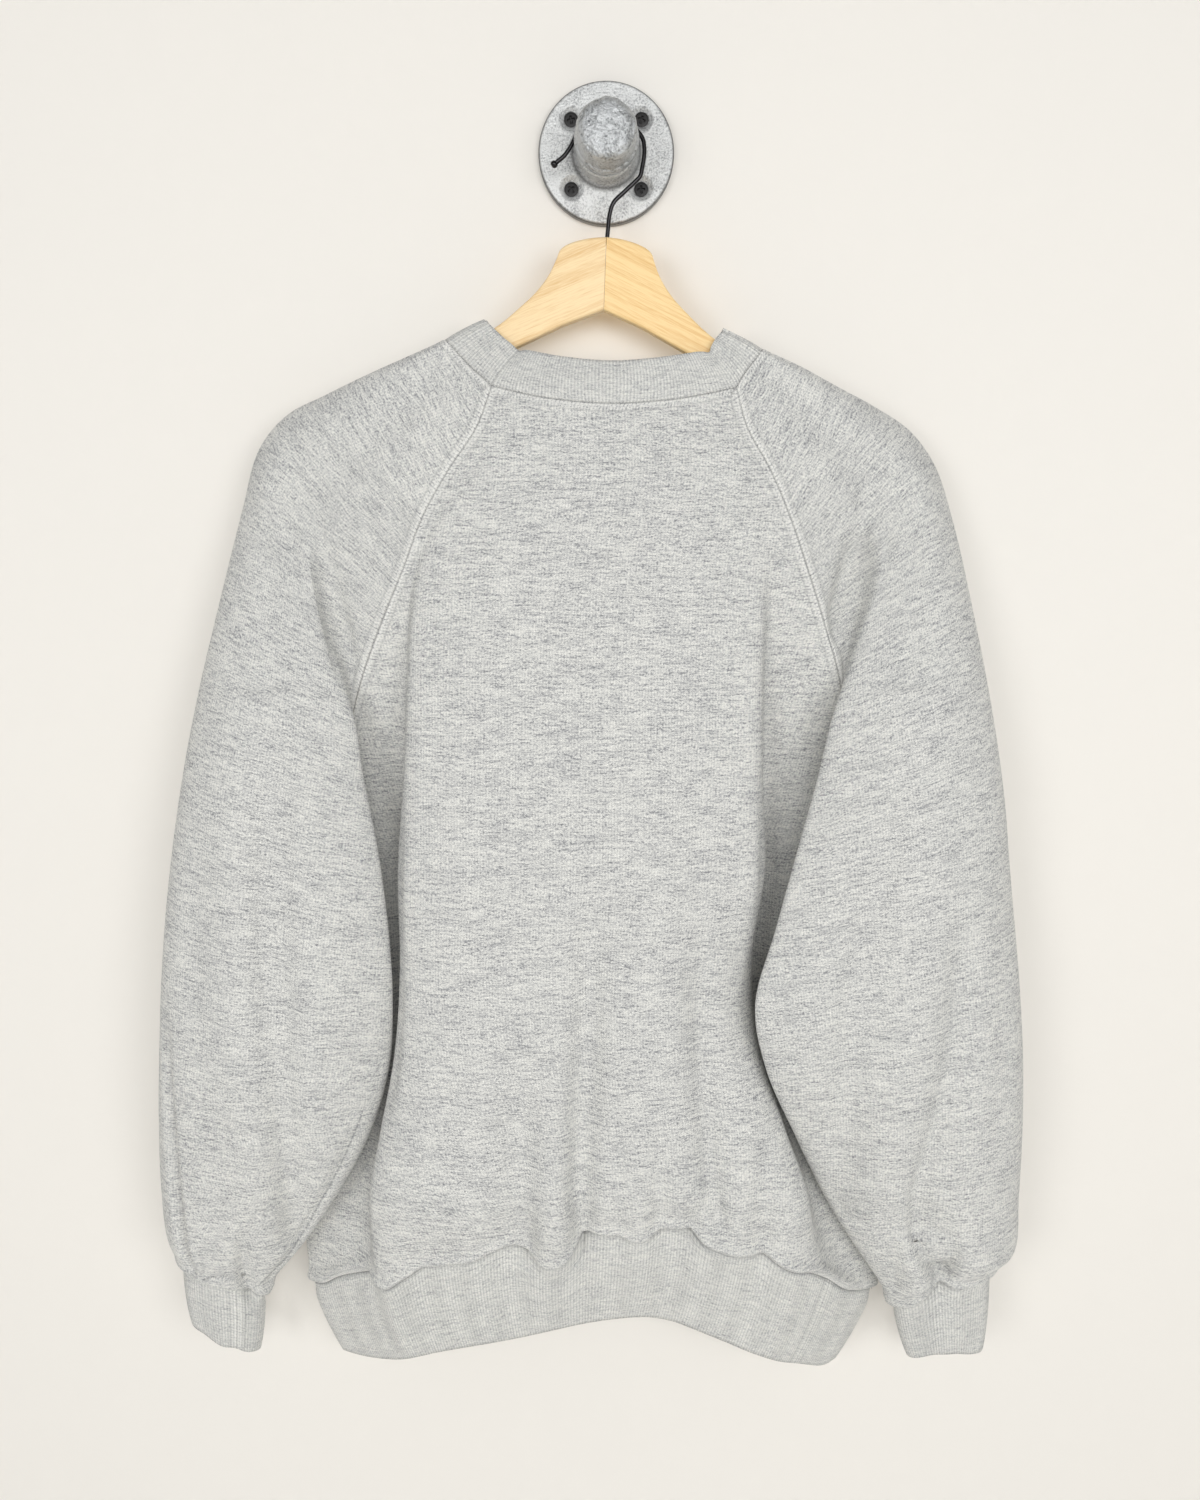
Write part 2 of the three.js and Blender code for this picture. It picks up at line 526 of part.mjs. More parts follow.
const HOOK_PATH = table("x z", [
  [-0.95, -83], [0, -57], [1, -46], [4, -38], [15, -27], [22.5, -16], [24.2, -5], [21, 5], [12, 13],
  [0, 15.3], [-11, 12.5], [-18.5, 5.5], [-22.5, -2], [-27, -8], [-32, -12],
]);
// The rolled ball at the end of the wire.
const BALL = table("along radius", [[0.6, 2.1], [1.8, 2.4], [3, 2.1], [3.7, 1.2]]);

// The wall fitting for a 3/4 in pipe, all round the Y axis: a floor flange, a close nipple and a cap. Each
// row is a radius and a distance out from the wall.
const FLANGE = table("r d", [
  [0, 0], [44.45, 0], [44.45, 4.6], [43.2, 6], [24, 7], [20.5, 8.5], [19.5, 11], [19.5, 19], [18.7, 20],
  [13.7, 20], [13.7, 5], [0, 5],
]);
const NIPPLE = table("r d", [[10.45, 5.3], [13.3, 5.3], [13.3, 42], [10.45, 42], [10.45, 5.3]]);
const CAP = table("r d", [
  [0, 43], [13.7, 43], [13.7, 28.5], [20, 28.5], [20.6, 29.2], [20.6, 34.2], [19.2, 35.4], [19, 49],
  [17.8, 52.5], [14.5, 54.8], [8, 56.1], [0, 56.5],
]);
const SCREW = table("r d", [[0, 0.3], [2.3, 0.3], [2.3, 1.9], [4.6, 3.9], [4.6, 4.3], [0, 4.6]]);
const SCREW_HOLE = table("r d", [[0, -1], [2.8, -1], [2.8, 2], [8, 6.4], [8, 9], [0, 9]]);
const SCREW_SLOT = { length: 5, width: 1, depth: 1.2 };
const SCREWS = table("name x z", [
  ["screw_top_left", -23, 21],
  ["screw_top_right", 23, 21],
  ["screw_bottom_left", -23, -22],
  ["screw_bottom_right", 23, -22],
]);

const wasm = await Module();
wasm.setup();
const solidOf = (geometry) => {
  const bare = new THREE.BufferGeometry();
  bare.setAttribute("position", geometry.toNonIndexed().getAttribute("position"));
  const merged = mergeVertices(bare, 1e-3);
  return new wasm.Manifold(new wasm.Mesh({
    numProp: 3,
    vertProperties: merged.attributes.position.array,
    triVerts: new Uint32Array(merged.index.array),
  }));
};
const geometryOf = (solid) => {
  const mesh = solid.getMesh();
  const geometry = new THREE.BufferGeometry();
  geometry.setAttribute("position", new THREE.BufferAttribute(mesh.vertProperties, 3));
  geometry.setIndex(new THREE.BufferAttribute(mesh.triVerts, 1));
  return geometry;
};
// A piece turned round the Y axis.
const turned = (profile, segments) => {
  const points = profile.map((row) => new THREE.Vector2(row.r, row.d));
  return new THREE.LatheGeometry(points, segments).rotateX(Math.PI);
};
// A closed solid through rings of equal length.
const loft = (rings) => {
  const count = rings[0].length;
  const centre = (ring) => ring.reduce((sum, p) => sum.add(p), new THREE.Vector3()).divideScalar(count);
  const points = [...rings.flat(), centre(rings[0]), centre(rings[rings.length - 1])];
  const index = [];
  for (let i = 0; i < count; i++) {
    const next = (i + 1) % count;
    for (let j = 0; j < rings.length - 1; j++) {
      const [a, b, c, d] = [j * count + i, j * count + next, (j + 1) * count + next, (j + 1) * count + i];
      index.push(a, b, c, a, c, d);
    }
    const last = (rings.length - 1) * count;
    index.push(rings.length * count, next, i, rings.length * count + 1, last + i, last + next);
  }
  const geometry = new THREE.BufferGeometry().setFromPoints(points);
  geometry.setIndex(index);
  return geometry;
};

const bore = turned(table("r d", [[0, SHANK_FOOT], [SHANK_BORE, SHANK_FOOT], [SHANK_BORE, 0], [0, 0]]), 10);
const shankHole = solidOf(bore.rotateX(-Math.PI / 2).translate(0, -HOOK_D, 0));
const hangerHalf = (side) => {
  const rings = HANGER.map(({ x, topZ, bottomZ, centreD }) => {
    const h = HANGER_THICK / 2;
    const e = HANGER_EDGE;
    const corners = [
      [-h, bottomZ + e], [-h + e, bottomZ], [h - e, bottomZ], [h, bottomZ + e], [h, topZ - e], [h - e, topZ],
      [-h + e, topZ], [-h, topZ - e],
    ];
    return corners.map(([d, z]) => at(side * x, centreD + d, z));
  });
  if (side > 0) rings.reverse();
  return geometryOf(solidOf(loft(rings)).subtract(shankHole));
};
const hookWire = () => {
  const curve = new THREE.CatmullRomCurve3(HOOK_PATH.map((row) => at(row.x, HOOK_D, row.z)));
  const ring = (p, tangent, radius) => Array.from({ length: 8 }, (_, k) => {
    const across = new THREE.Vector3(0, 1, 0).cross(tangent);
    const angle = (k / 8) * 2 * Math.PI;
    const off = at(0, -radius * Math.sin(angle), 0).addScaledVector(across, radius * Math.cos(angle));
    return p.clone().add(off);
  });
  const rings = curve.getSpacedPoints(44).map((p, i) => ring(p, curve.getTangentAt(i / 44), WIRE_RADIUS));
  const end = curve.getPointAt(1);
  const onward = curve.getTangentAt(1);
  for (const { along, radius } of BALL) {
    rings.push(ring(end.clone().addScaledVector(onward, along), onward, radius));
  }
  return loft(rings);
};
const flange = () => SCREWS.reduce((solid, screw) => {
  const hole = solidOf(turned(SCREW_HOLE, 20).translate(screw.x, 0, screw.z));
  return solid.subtract(hole);
}, solidOf(turned(FLANGE, 48)));
const screw = () => {
  const headD = SCREW[SCREW.length - 1].d;
  const slot = new THREE.BoxGeometry(SCREW_SLOT.length, 2 * SCREW_SLOT.depth, SCREW_SLOT.width);
  const level = solidOf(slot.clone().translate(0, -headD, 0));
  const upright = solidOf(slot.rotateY(Math.PI / 2).translate(0, -headD, 0));
  return geometryOf(solidOf(turned(SCREW, 16)).subtract(level.add(upright)));
};

const fleece = new THREE.MeshStandardMaterial({ color: 0xc6cacb, roughness: 0.95 });
const rib = new THREE.MeshStandardMaterial({ color: 0xc3c6c6, roughness: 0.95 });
const wood = new THREE.MeshStandardMaterial({ color: 0xe6c592, roughness: 0.5 });
const wire = new THREE.MeshStandardMaterial({ color: 0x4a4a4c, roughness: 0.3, metalness: 1 });
const galvanized = new THREE.MeshStandardMaterial({ color: 0xb9bcbd, roughness: 0.45, metalness: 0.9 });
const blackened = new THREE.MeshStandardMaterial({ color: 0x1b1b1b, roughness: 0.6, metalness: 0.6 });

const part = new THREE.Group();
const addPiece = (name, geometry, material, group = part) => {
  const mesh = new THREE.Mesh(geometry, material);
  mesh.name = name;
  group.add(mesh);
  return mesh;
};
for (const [name, cloth] of Object.entries(cloths)) {
  addPiece(name, wallGeometry(cloth), cloth.wrap ? rib : fleece);
}

const hanger = new THREE.Group();
addPiece("hanger_left", hangerHalf(-1), wood, hanger);
addPiece("hanger_right", hangerHalf(1), wood, hanger);
const pivotZ = HANGER[0].topZ;
hanger.rotation.y = HANGER_TILT;
hanger.position.set(-pivotZ * Math.sin(HANGER_TILT), 0, pivotZ * (1 - Math.cos(HANGER_TILT)));
part.add(hanger);
addPiece("hanger_hook", hookWire(), wire);

addPiece("wall_flange", geometryOf(flange()), galvanized);
addPiece("pipe_nipple", turned(NIPPLE, 28), galvanized);
addPiece("pipe_cap", turned(CAP, 32), galvanized);
for (const { name, x, z } of SCREWS) addPiece(name, screw(), blackened).position.set(x, 0, z);

export default part;
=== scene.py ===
import math

import bmesh
import bpy
import numpy as np
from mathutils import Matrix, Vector, noise


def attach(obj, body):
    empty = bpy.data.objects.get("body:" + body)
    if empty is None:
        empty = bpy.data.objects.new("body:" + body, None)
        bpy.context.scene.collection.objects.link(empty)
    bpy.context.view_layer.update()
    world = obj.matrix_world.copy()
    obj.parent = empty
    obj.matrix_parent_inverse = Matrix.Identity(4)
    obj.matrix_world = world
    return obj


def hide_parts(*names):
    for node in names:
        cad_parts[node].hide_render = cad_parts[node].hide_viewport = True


# Raglan crewneck sweatshirt seen from the back, on a wooden hanger whose hook hangs over a capped nipple.
# Tables and sizes are in millimetres, as d out from the wall, and pieces are made in metres.
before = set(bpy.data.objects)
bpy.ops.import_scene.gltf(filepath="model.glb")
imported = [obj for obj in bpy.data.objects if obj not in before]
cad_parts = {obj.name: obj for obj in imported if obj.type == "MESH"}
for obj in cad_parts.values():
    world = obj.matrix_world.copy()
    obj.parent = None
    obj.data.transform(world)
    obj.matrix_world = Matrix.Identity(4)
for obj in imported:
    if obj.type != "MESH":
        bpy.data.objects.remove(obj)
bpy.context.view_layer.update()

MM = 0.001
CLOTH = 2.0
RIB = 2.2
YOKE_ROWS = 8  # the table row at the underarm
YOKE_LEVELS = 97  # the cloth's rows of points down to the underarm
ROLL_LEVELS = 15  # and those where it rolls over the rib band
CLOTH_STEP = 3.0  # spacing of the cloth's points across a panel
SEAM_STEP = 1.7
COLLAR_PITCH = 2.2  # from rib to rib
RIB_PITCH = 2.0


def table(columns, rows):
    """Named columns, each an array with one number for each row."""
    return dict(zip(columns.split(), np.array(rows, float).T))


# The back panel's two halves, by height: its seam, the bottom of the deep fold beside the sleeve and that
# fold's outer bend.
BACK_LEFT = table("z seamX seamD rootX rootD edgeX edgeD", [
    (-151, -74, 38, -62, 40, -48, 42),
    (-178, -84, 43, -73, 45, -60, 47),
    (-205, -102, 47, -91, 49, -78, 51),
    (-235, -119, 50, -111, 51, -102, 55),
    (-268, -132, 52, -125, 52, -118, 57),
    (-302, -147, 50, -131, 48, -125, 59),
    (-338, -162, 44, -134, 43, -128, 61),
    (-375, -174, 36, -137, 38, -130, 63),
    (-415, -185, 27, -140, 34, -133, 65),
    (-470, -206, 22, -145, 32, -138, 67),
    (-530, -222, 19, -143, 32, -138, 69),
    (-590, -228, 19, -146, 34, -142, 71),
    (-650, -228, 20, -158, 38, -152, 74),
    (-705, -225, 23, -167, 44, -161, 77),
    (-768, -217, 27, -173, 57, -155, 70),
])
BACK_RIGHT = table("z seamX seamD rootX rootD edgeX edgeD", [
    (-152, 84, 38, 70, 40, 55, 42),
    (-178, 91, 43, 79, 45, 66, 47),
    (-205, 106, 47, 94, 49, 81, 51),
    (-235, 119, 50, 105, 52, 93, 55),
    (-268, 131, 51, 109, 53, 98, 57),
    (-302, 143, 49, 108, 50, 100, 60),
    (-338, 155, 44, 107, 46, 100, 62),
    (-375, 164, 36, 108, 40, 101, 64),
    (-415, 176, 27, 109, 36, 102, 65),
    (-470, 200, 22, 112, 34, 105, 65),
    (-530, 216, 19, 107, 33, 98, 62),
    (-590, 220, 19, 111, 34, 102, 62),
    (-650, 216, 20, 125, 37, 121, 68),
    (-705, 208, 23, 144, 44, 138, 76),
    (-782, 198, 28, 161, 56, 139, 72),
])
# The middle of the back, the middle of the front and the front's raglan seams.
MIDDLE = table("backZ backD frontZ frontD frontLeft frontRight frontSeamZ frontSeamD", [
    (-163, 44, -238, 12, -72, 80, -185, 15),
    (-186, 48, -254, 9, -82, 88, -208, 12),
    (-208, 52, -272, 8, -98, 102, -234, 11),
    (-236, 57, -291, 7, -114, 116, -262, 10),
    (-268, 61, -312, 7, -130, 130, -292, 10),
    (-302, 65, -335, 7, -146, 143, -322, 10),
    (-338, 69, -360, 7, -160, 155, -353, 12),
    (-375, 73, -387, 7, -173, 166, -385, 17),
    (-415, 77, -415, 8, -185, 176, -415, 27),
    (-470, 81, -470, 8, -206, 200, -470, 22),
    (-530, 85, -530, 8, -222, 216, -530, 19),
    (-590, 88, -590, 8, -228, 220, -590, 19),
    (-648, 91, -650, 9, -228, 216, -650, 20),
    (-696, 92, -705, 10, -225, 208, -705, 23),
    (-722, 82, -756, 13, -217, 198, -775, 27),
])
# Each sleeve from neck to cuff: the crease behind the armpit, its outer bend, how far the sleeve bulges, its
# outer silhouette, half the thickness of that bend, and the wall side's depths.
SLEEVE_COLUMNS = "foldX foldZ foldD edgeX edgeZ edgeD bulge outX outZ outD round wallOut wallIn"
SLEEVE_LEFT = table(SLEEVE_COLUMNS, [
    (-81, -145, 37, -88, -139, 36, 34, -105, -121, 25, 10.5, 13.5, 13.5),
    (-93, -169, 43, -102, -160, 42, 38, -129, -131, 24, 10.5, 11, 11),
    (-112, -193, 47, -122, -181, 46, 40, -156, -142, 22, 10, 9, 10),
    (-133, -219, 50, -146, -205, 50, 43, -185, -155, 20, 10, 8, 9),
    (-152, -250, 51, -168, -236, 52, 46, -212, -168, 18, 10, 7, 8),
    (-176, -272, 49, -190, -254, 55, 50, -231, -190, 19, 10, 7, 8),
    (-170, -330, 45, -180, -316, 57, 60, -243, -230, 23, 12, 7, 9),
    (-171, -374, 47, -165, -368, 60, 68, -257, -283, 29, 15, 8, 12),
    (-173, -411, 44, -161, -402, 60, 76, -273, -345, 35, 18, 9, 18),
    (-164, -457, 46, -153, -449, 62, 82, -286, -405, 40, 20, 11, 29),
    (-153, -512, 52, -147, -506, 64, 87, -297, -470, 44, 21, 13, 37),
    (-147, -558, 56, -146, -551, 65, 90, -305, -535, 46, 22, 14, 41),
    (-149, -604, 56, -151, -600, 64, 91, -310, -595, 47, 22, 14, 41),
    (-163, -654, 55, -166, -651, 63, 89, -314, -650, 46, 21, 14, 39),
    (-189, -705, 53, -192, -702, 62, 84, -316, -700, 44, 20, 15, 35),
    (-223, -754, 49, -226, -752, 57, 76, -314, -742, 42, 18, 17, 30),
    (-248, -779, 44, -251, -777, 50, 60, -306, -760, 38, 14, 21, 27),
])
SLEEVE_RIGHT = table(SLEEVE_COLUMNS, [
    (87, -147, 37, 91, -141, 36, 34, 102, -127, 25, 10.5, 13.5, 13.5),
    (99, -169, 43, 107, -160, 42, 38, 126, -137, 24, 10.5, 11, 11),
    (115, -194, 47, 124, -183, 46, 40, 152, -150, 22, 10, 9, 10),
    (131, -220, 50, 143, -206, 50, 43, 178, -163, 20, 10, 8, 9),
    (148, -250, 50, 162, -234, 52, 46, 202, -178, 18, 10, 7, 8),
    (166, -272, 45, 178, -256, 56, 50, 219, -200, 19, 10, 7, 8),
    (159, -331, 44, 163, -320, 58, 62, 232, -238, 24, 12, 7, 9),
    (157, -371, 46, 148, -364, 63, 70, 245, -292, 30, 15, 8, 12),
    (159, -410, 44, 139, -402, 67, 78, 258, -352, 36, 18, 9, 18),
    (147, -455, 48, 127, -448, 71, 84, 268, -410, 41, 20, 11, 29),
    (124, -508, 62, 112, -505, 77, 90, 276, -475, 45, 21, 13, 38),
    (103, -558, 77, 99, -553, 84, 94, 284, -540, 47, 22, 14, 44),
    (111, -606, 68, 109, -602, 79, 94, 290, -600, 47, 22, 14, 43),
    (131, -657, 58, 133, -654, 70, 90, 293, -655, 46, 21, 14, 40),
    (155, -708, 53, 158, -706, 63, 84, 294, -708, 44, 20, 15, 35),
    (185, -757, 49, 188, -755, 57, 77, 293, -752, 42, 18, 17, 30),
    (209, -789, 44, 212, -787, 50, 61, 278, -768, 38, 14, 21, 27),
])
# How far across the sleeve, from its seam, the wall side steps back over the edge of the body.
WALL_LEFT = {"out": 0.64, "in": 0.3}
WALL_RIGHT = {"out": 0.73, "in": 0.46}
# The underarm seams, from the underarm down.
UNDERARM_LEFT = table("x z d", [
    (-185, -415, 27), (-176, -463, 34), (-161, -516, 41), (-151, -563, 49), (-152, -607, 49),
    (-166, -657, 48), (-192, -707, 46), (-225, -755, 42), (-249, -780, 38),
])
UNDERARM_RIGHT = table("x z d", [
    (176, -415, 27), (167, -460, 36), (142, -512, 50), (111, -562, 72), (118, -609, 60),
    (135, -659, 50), (158, -709, 46), (187, -758, 42), (210, -790, 38),
])
# The angle below the level, in degrees, at which the knit's courses run down towards the body, for each
# sleeve row.
SLEEVE_GRAIN = (60, 60, 60, 58, 45, 35, 28, 24, 20, 15, 12, 10, 8, 7, 6, 5, 5)

# Which way the collar stands on the neck seam, from the middle of the back to the middle of the front.
COLLAR_HEIGHT = 28
COLLAR_LEAN = table("across out up", [(0, -6, 27), (17, -1, 21), (24, 0, 12), (16, 1, 22), (0, 5, 27)])
HEM_EDGE = table("x z", [
    (-197, -847), (-178, -846), (-157, -841), (-120, -826), (-60, -812), (0, -798.5), (38, -797),
    (75, -811.5), (110, -829.5), (140, -845), (162, -855), (173, -853),
])
HEM_SHRINK = 0.89
HEM_SHIFT = -3.5
HEM_FLATTEN = 0.66
HEM_OFF_WALL = 6
CUFF_LEFT = {"outerX": 3, "outerZ": -48, "innerX": -5, "innerZ": -50, "depth": 0.78}
CUFF_RIGHT = {"outerX": -1, "outerZ": -64, "innerX": 12, "innerZ": -46, "depth": 0.78}

# The main folds, as the solids have them: a line from top to foot, half width, height and fading length.
FOLD_COLUMNS = "topX topZ footX footZ width out fade"
BACK_FOLDS = table(FOLD_COLUMNS, [
    (-8, -450, -17, -740, 12, -6, 160),
    (-64, -560, -56, -745, 15, -4, 110),
    (60, -330, 72, -735, 20, -5, 190),
    (33, -640, 41, -735, 9, -3, 60),
    (104, -650, 105, -745, 10, -3, 60),
    (-105, -520, -112, -750, 34, 4, 180),
    (-36, -600, -37, -745, 17, 5, 100),
])
LEFT_SLEEVE_FOLDS = table(FOLD_COLUMNS, [
    (-226, -340, -216, -700, 16, -5, 150),
    (-205, -195, -222, -330, 22, -4, 60),
    (-262, -560, -268, -740, 18, -4, 90),
    (-240, -690, -252, -775, 10, -4, 40),
])
RIGHT_SLEEVE_FOLDS = table(FOLD_COLUMNS, [
    (184, -420, 160, -690, 17, -5, 120),
    (246, -480, 222, -700, 20, -5, 100),
    (222, -690, 240, -775, 14, -8, 50),
    (206, -215, 196, -330, 20, -4, 60),
])
FRONT_FOLDS = table(FOLD_COLUMNS, [
    (-118, -360, -126, -745, 22, -7, 150),
    (-40, -430, -48, -745, 26, -6, 170),
    (46, -410, 40, -745, 24, -7, 160),
    (112, -350, 118, -745, 20, -6, 150),
])

# Finer creases than the solids have: (x, z, depth, half width) at points down each one.
CREASES = {
    "back": [
        # beside the sleeves
        [(-140, -360, 0, 6), (-142, -425, 4, 6), (-146, -480, 12, 6), (-147, -560, 13, 6), (-149, -600, 8, 6),
         (-153, -645, 0, 6)],
        [(108, -360, 0, 6), (110, -425, 4, 6), (113, -475, 11, 6), (109, -540, 12, 6), (114, -590, 8, 6),
         (124, -640, 0, 6)],
        # the long ones above the hem
        [(-4, -430, 0, 11), (-10, -511, 2.5, 10), (-14, -600, 4, 9), (-18, -684, 5.5, 7), (-16, -723, 7, 4.5),
         (-15, -750, 5, 4)],
        [(-56, -560, 0, 14), (-57, -633, 3.5, 13), (-56, -700, 3.5, 12), (-52, -750, 2, 10)],
        [(-50, -690, 0, 5), (-52, -720, 4, 4.5), (-50, -742, 6, 4), (-50, -750, 5, 4)],
        [(62, -500, 0, 13), (63, -548, 3, 11), (67, -620, 4.5, 9), (72, -680, 5.5, 7), (77, -712, 5.5, 6),
         (80, -735, 0, 6)],
        [(70, -690, 0, 5), (62, -712, 4, 4.5), (58, -735, 5, 5), (54, -748, 3, 5)],
        # the short ones between them
        [(8, -625, 0, 8), (8, -654, 2.2, 7), (9, -716, 3, 6), (9, -745, 2, 6)],
        [(37, -630, 0, 6), (37, -654, 2, 6), (36, -711, 3.5, 5), (36, -740, 3, 5)],
        [(108, -640, 0, 8), (109, -662, 2, 7), (110, -731, 3.5, 6), (110, -750, 2, 6)],
        [(-104, -560, 0, 16), (-106, -640, 2, 15), (-110, -720, 2, 13), (-112, -750, 0, 12)],
        [(-128, -700, 0, 7), (-128, -735, 2, 7), (-126, -752, 2, 6)],
        [(88, -420, 0, 14), (86, -480, 2, 13), (88, -560, 2, 12), (92, -620, 0, 11)],
    ],
    "sleeve_left": [
        [(-194, -205, 0, 9), (-184, -263, 5, 8), (-176, -310, 8, 6), (-170, -345, 0, 5)],
        [(-194, -180, 0, 14), (-205, -205, 2.5, 13), (-217, -231, 3.5, 12), (-213, -276, 3, 12),
         (-208, -315, 0, 12)],
        [(-220, -335, 0, 13), (-218, -374, 2.5, 12), (-211, -432, 3.5, 11), (-212, -490, 3.5, 11),
         (-215, -563, 4, 11), (-217, -612, 4.5, 10), (-217, -717, 4.5, 9), (-224, -745, 0, 8)],
        # the edge of the wall-side layer
        [(-297, -555, 0, 2.6), (-299, -600, 4, 2.6), (-298, -669, 7, 2.6), (-297, -703, 9, 2.6),
         (-295, -736, 9, 2.6), (-292, -750, 6, 2.6), (-289, -764, 0, 2.6)],
        [(-251, -720, 0, 6), (-253, -736, 3, 5), (-255, -765, 5.5, 4.5), (-255, -778, 4, 4.5)],
        # the pressed line of the underarm seam
        [(-168, -640, 0, 2.2), (-181, -671, 1.8, 2.2), (-191, -691, 2, 2.2), (-200, -707, 2, 2.2),
         (-213, -732, 2, 2.2), (-230, -757, 2, 2.2), (-246, -772, 0.8, 2.2)],
        [(-222, -390, 0, 6), (-224, -440, 2.5, 5), (-226, -500, 3.2, 5), (-226, -555, 2.5, 5),
         (-226, -600, 0, 6)],
        [(-262, -400, 0, 18), (-270, -470, 2.5, 17), (-274, -560, 2.5, 15), (-272, -640, 0, 14)],
    ],
    "sleeve_right": [
        [(180, -190, 0, 11), (170, -225, 4.5, 10), (159, -276, 9, 7.5), (151, -308, 9, 6), (146, -335, 0, 5)],
        [(196, -390, 0, 7), (190, -425, 2.5, 6), (183, -465, 3, 6), (177, -500, 0, 7)],
        [(176, -420, 0, 10), (170, -480, 2.5, 10), (165, -525, 3.5, 10), (158, -561, 3.5, 10),
         (160, -647, 2.5, 10), (166, -700, 0, 9)],
        [(236, -470, 0, 12), (234, -516, 3, 11), (233, -590, 4, 11), (224, -640, 5, 9), (214, -691, 6.5, 7),
         (217, -735, 6, 6.5), (227, -752, 7, 5.5), (235, -768, 9, 4)],
        [(241, -720, 0, 5), (242, -742, 3, 4), (238, -763, 6, 4)],
        [(205, -205, 0, 14), (199, -250, 3, 13), (197, -300, 2, 13), (196, -340, 0, 13)],
        [(262, -430, 0, 16), (268, -500, 2.5, 15), (270, -590, 2.5, 14), (266, -680, 0, 12)],
        [(196, -700, 0, 8), (200, -735, 2.5, 7), (206, -770, 2.5, 6)],
    ],
    "front": [
        [(-150, -380, 0, 12), (-158, -500, 5, 10), (-150, -640, 4, 9), (-146, -745, 3, 8)],
        [(-78, -480, 0, 12), (-84, -600, 4, 10), (-80, -745, 4, 7)],
        [(6, -520, 0, 12), (-2, -620, 4, 10), (4, -745, 5, 7)],
        [(82, -470, 0, 12), (76, -600, 4, 10), (84, -745, 4, 7)],
        [(150, -400, 0, 12), (156, -520, 5, 10), (146, -640, 4, 9), (150, -745, 3, 8)],
    ],
}

# The lip of each panel over the rib band below it: how far it drops from the solids' smooth seam, and how far
# it bulges there.
LIP_COLUMNS = "x drop bulge"
LIPS = {
    "back": table(LIP_COLUMNS, [
        (-217, 22, 0), (-207, 22, 1), (-192, 13, 2), (-180, 9, 1), (-166.5, 5, -2), (-162, 12, 2),
        (-155, 15, 5), (-148, 13, 5), (-142, 8, 4), (-126, 1, 3), (-104, 1, 3), (-94, 3, 3), (-82, 0, 2),
        (-70, -2, 1), (-59, 1, 0), (-53, 10, 3), (-49, 15, 5), (-40, 17, 6), (-28, 14, 6), (-19, 7, 4),
        (-15, -1, -1), (-8, -2, 0), (10, -1, 2), (21, -1, 3), (30, -4, 2), (36, -10, 0), (42, -14, -1),
        (56, -17, -1), (62, -14, 2), (70, -11, 4), (88, -11, 5), (101, -13, 2), (109, -16, 0),
        (113, -13, 2), (124, -9, 4), (133, -7, 3), (142, -8.5, 2), (148, -6, 3), (158, 0, 3), (165, 5, 2),
        (173, 10.6, 2), (184, 13, 1), (198, 12, 0),
    ]),
    "front": table(LIP_COLUMNS, [
        (-217, 22, 0), (-190, 10, 3), (-160, -2, 0), (-130, 4, 4), (-95, 5, 3), (-80, -3, 0), (-50, 4, 4),
        (-18, 3, 4), (3, -4, 0), (30, 4, 4), (62, 4, 4), (84, -3, 0), (110, 3, 4), (140, 2, 3), (160, 0, 0),
        (180, 8, 3), (198, 12, 0),
    ]),
    "sleeve_left": table(LIP_COLUMNS, [
        (-318, 2, 0), (-306, 1, 1), (-294, -1, 2), (-283, 0, 3), (-270, -2, 4), (-262, 2, 3), (-257, 7, 1),
        (-250, 8, 4), (-243, 6, 3), (-238, 3, 1),
    ]),
    "sleeve_right": table(LIP_COLUMNS, [
        (198, 4, 1), (208, 6, 3), (219, 5, 4), (228, -1, 3), (233, -9, 0), (236, -15, -3), (239, -9, 3),
        (246, -7, 6), (257, -8, 6), (268, -8, 5), (278, -5, 2), (286, -1, 1),
    ]),
}
LIP_REACH = {"back": 62, "front": 62, "sleeve_left": 40, "sleeve_right": 40}
LIP_ROUNDING = 4.0
LIP_BULGE_REACH = 30  # a lip's bulge fades out over about this height
CREASE_SCALE = 1.25
FACING_GAIN = 1.6  # how fast folds grow as the cloth turns to face the viewer, or the wall on the front
SEAM_FREE = 8  # creases reach their full depth this far from a panel's side and top seams
# How far the bottom edge of each cuff drops from the solids' straight one.
CUFF_EDGES = {
    "left": table("x drop", [
        (-303, 2), (-289, -1), (-278, 4), (-273.5, 4.5), (-268, 1.5), (-263, 5), (-257.5, 6), (-252, 3),
    ]),
    "right": table("x drop", [(218, 2), (222, 4), (227, 1.5), (237, -4), (253, -5.5), (272, -1.5), (276, 0)]),
}


# Points, blends and curves
def point(x, d, z):
    """Places in the part's frame, from arrays or numbers in millimetres."""
    return np.stack(np.broadcast_arrays(x, -np.asarray(d, float), z), -1).astype(float)


def lerp(a, b, t):
    return a + (b - a) * t


def smooth(t):
    t = np.clip(t, 0, 1)
    return t * t * (3 - 2 * t)


def unit(vectors):
    return vectors / np.maximum(np.linalg.norm(vectors, axis=-1, keepdims=True), 1e-9)


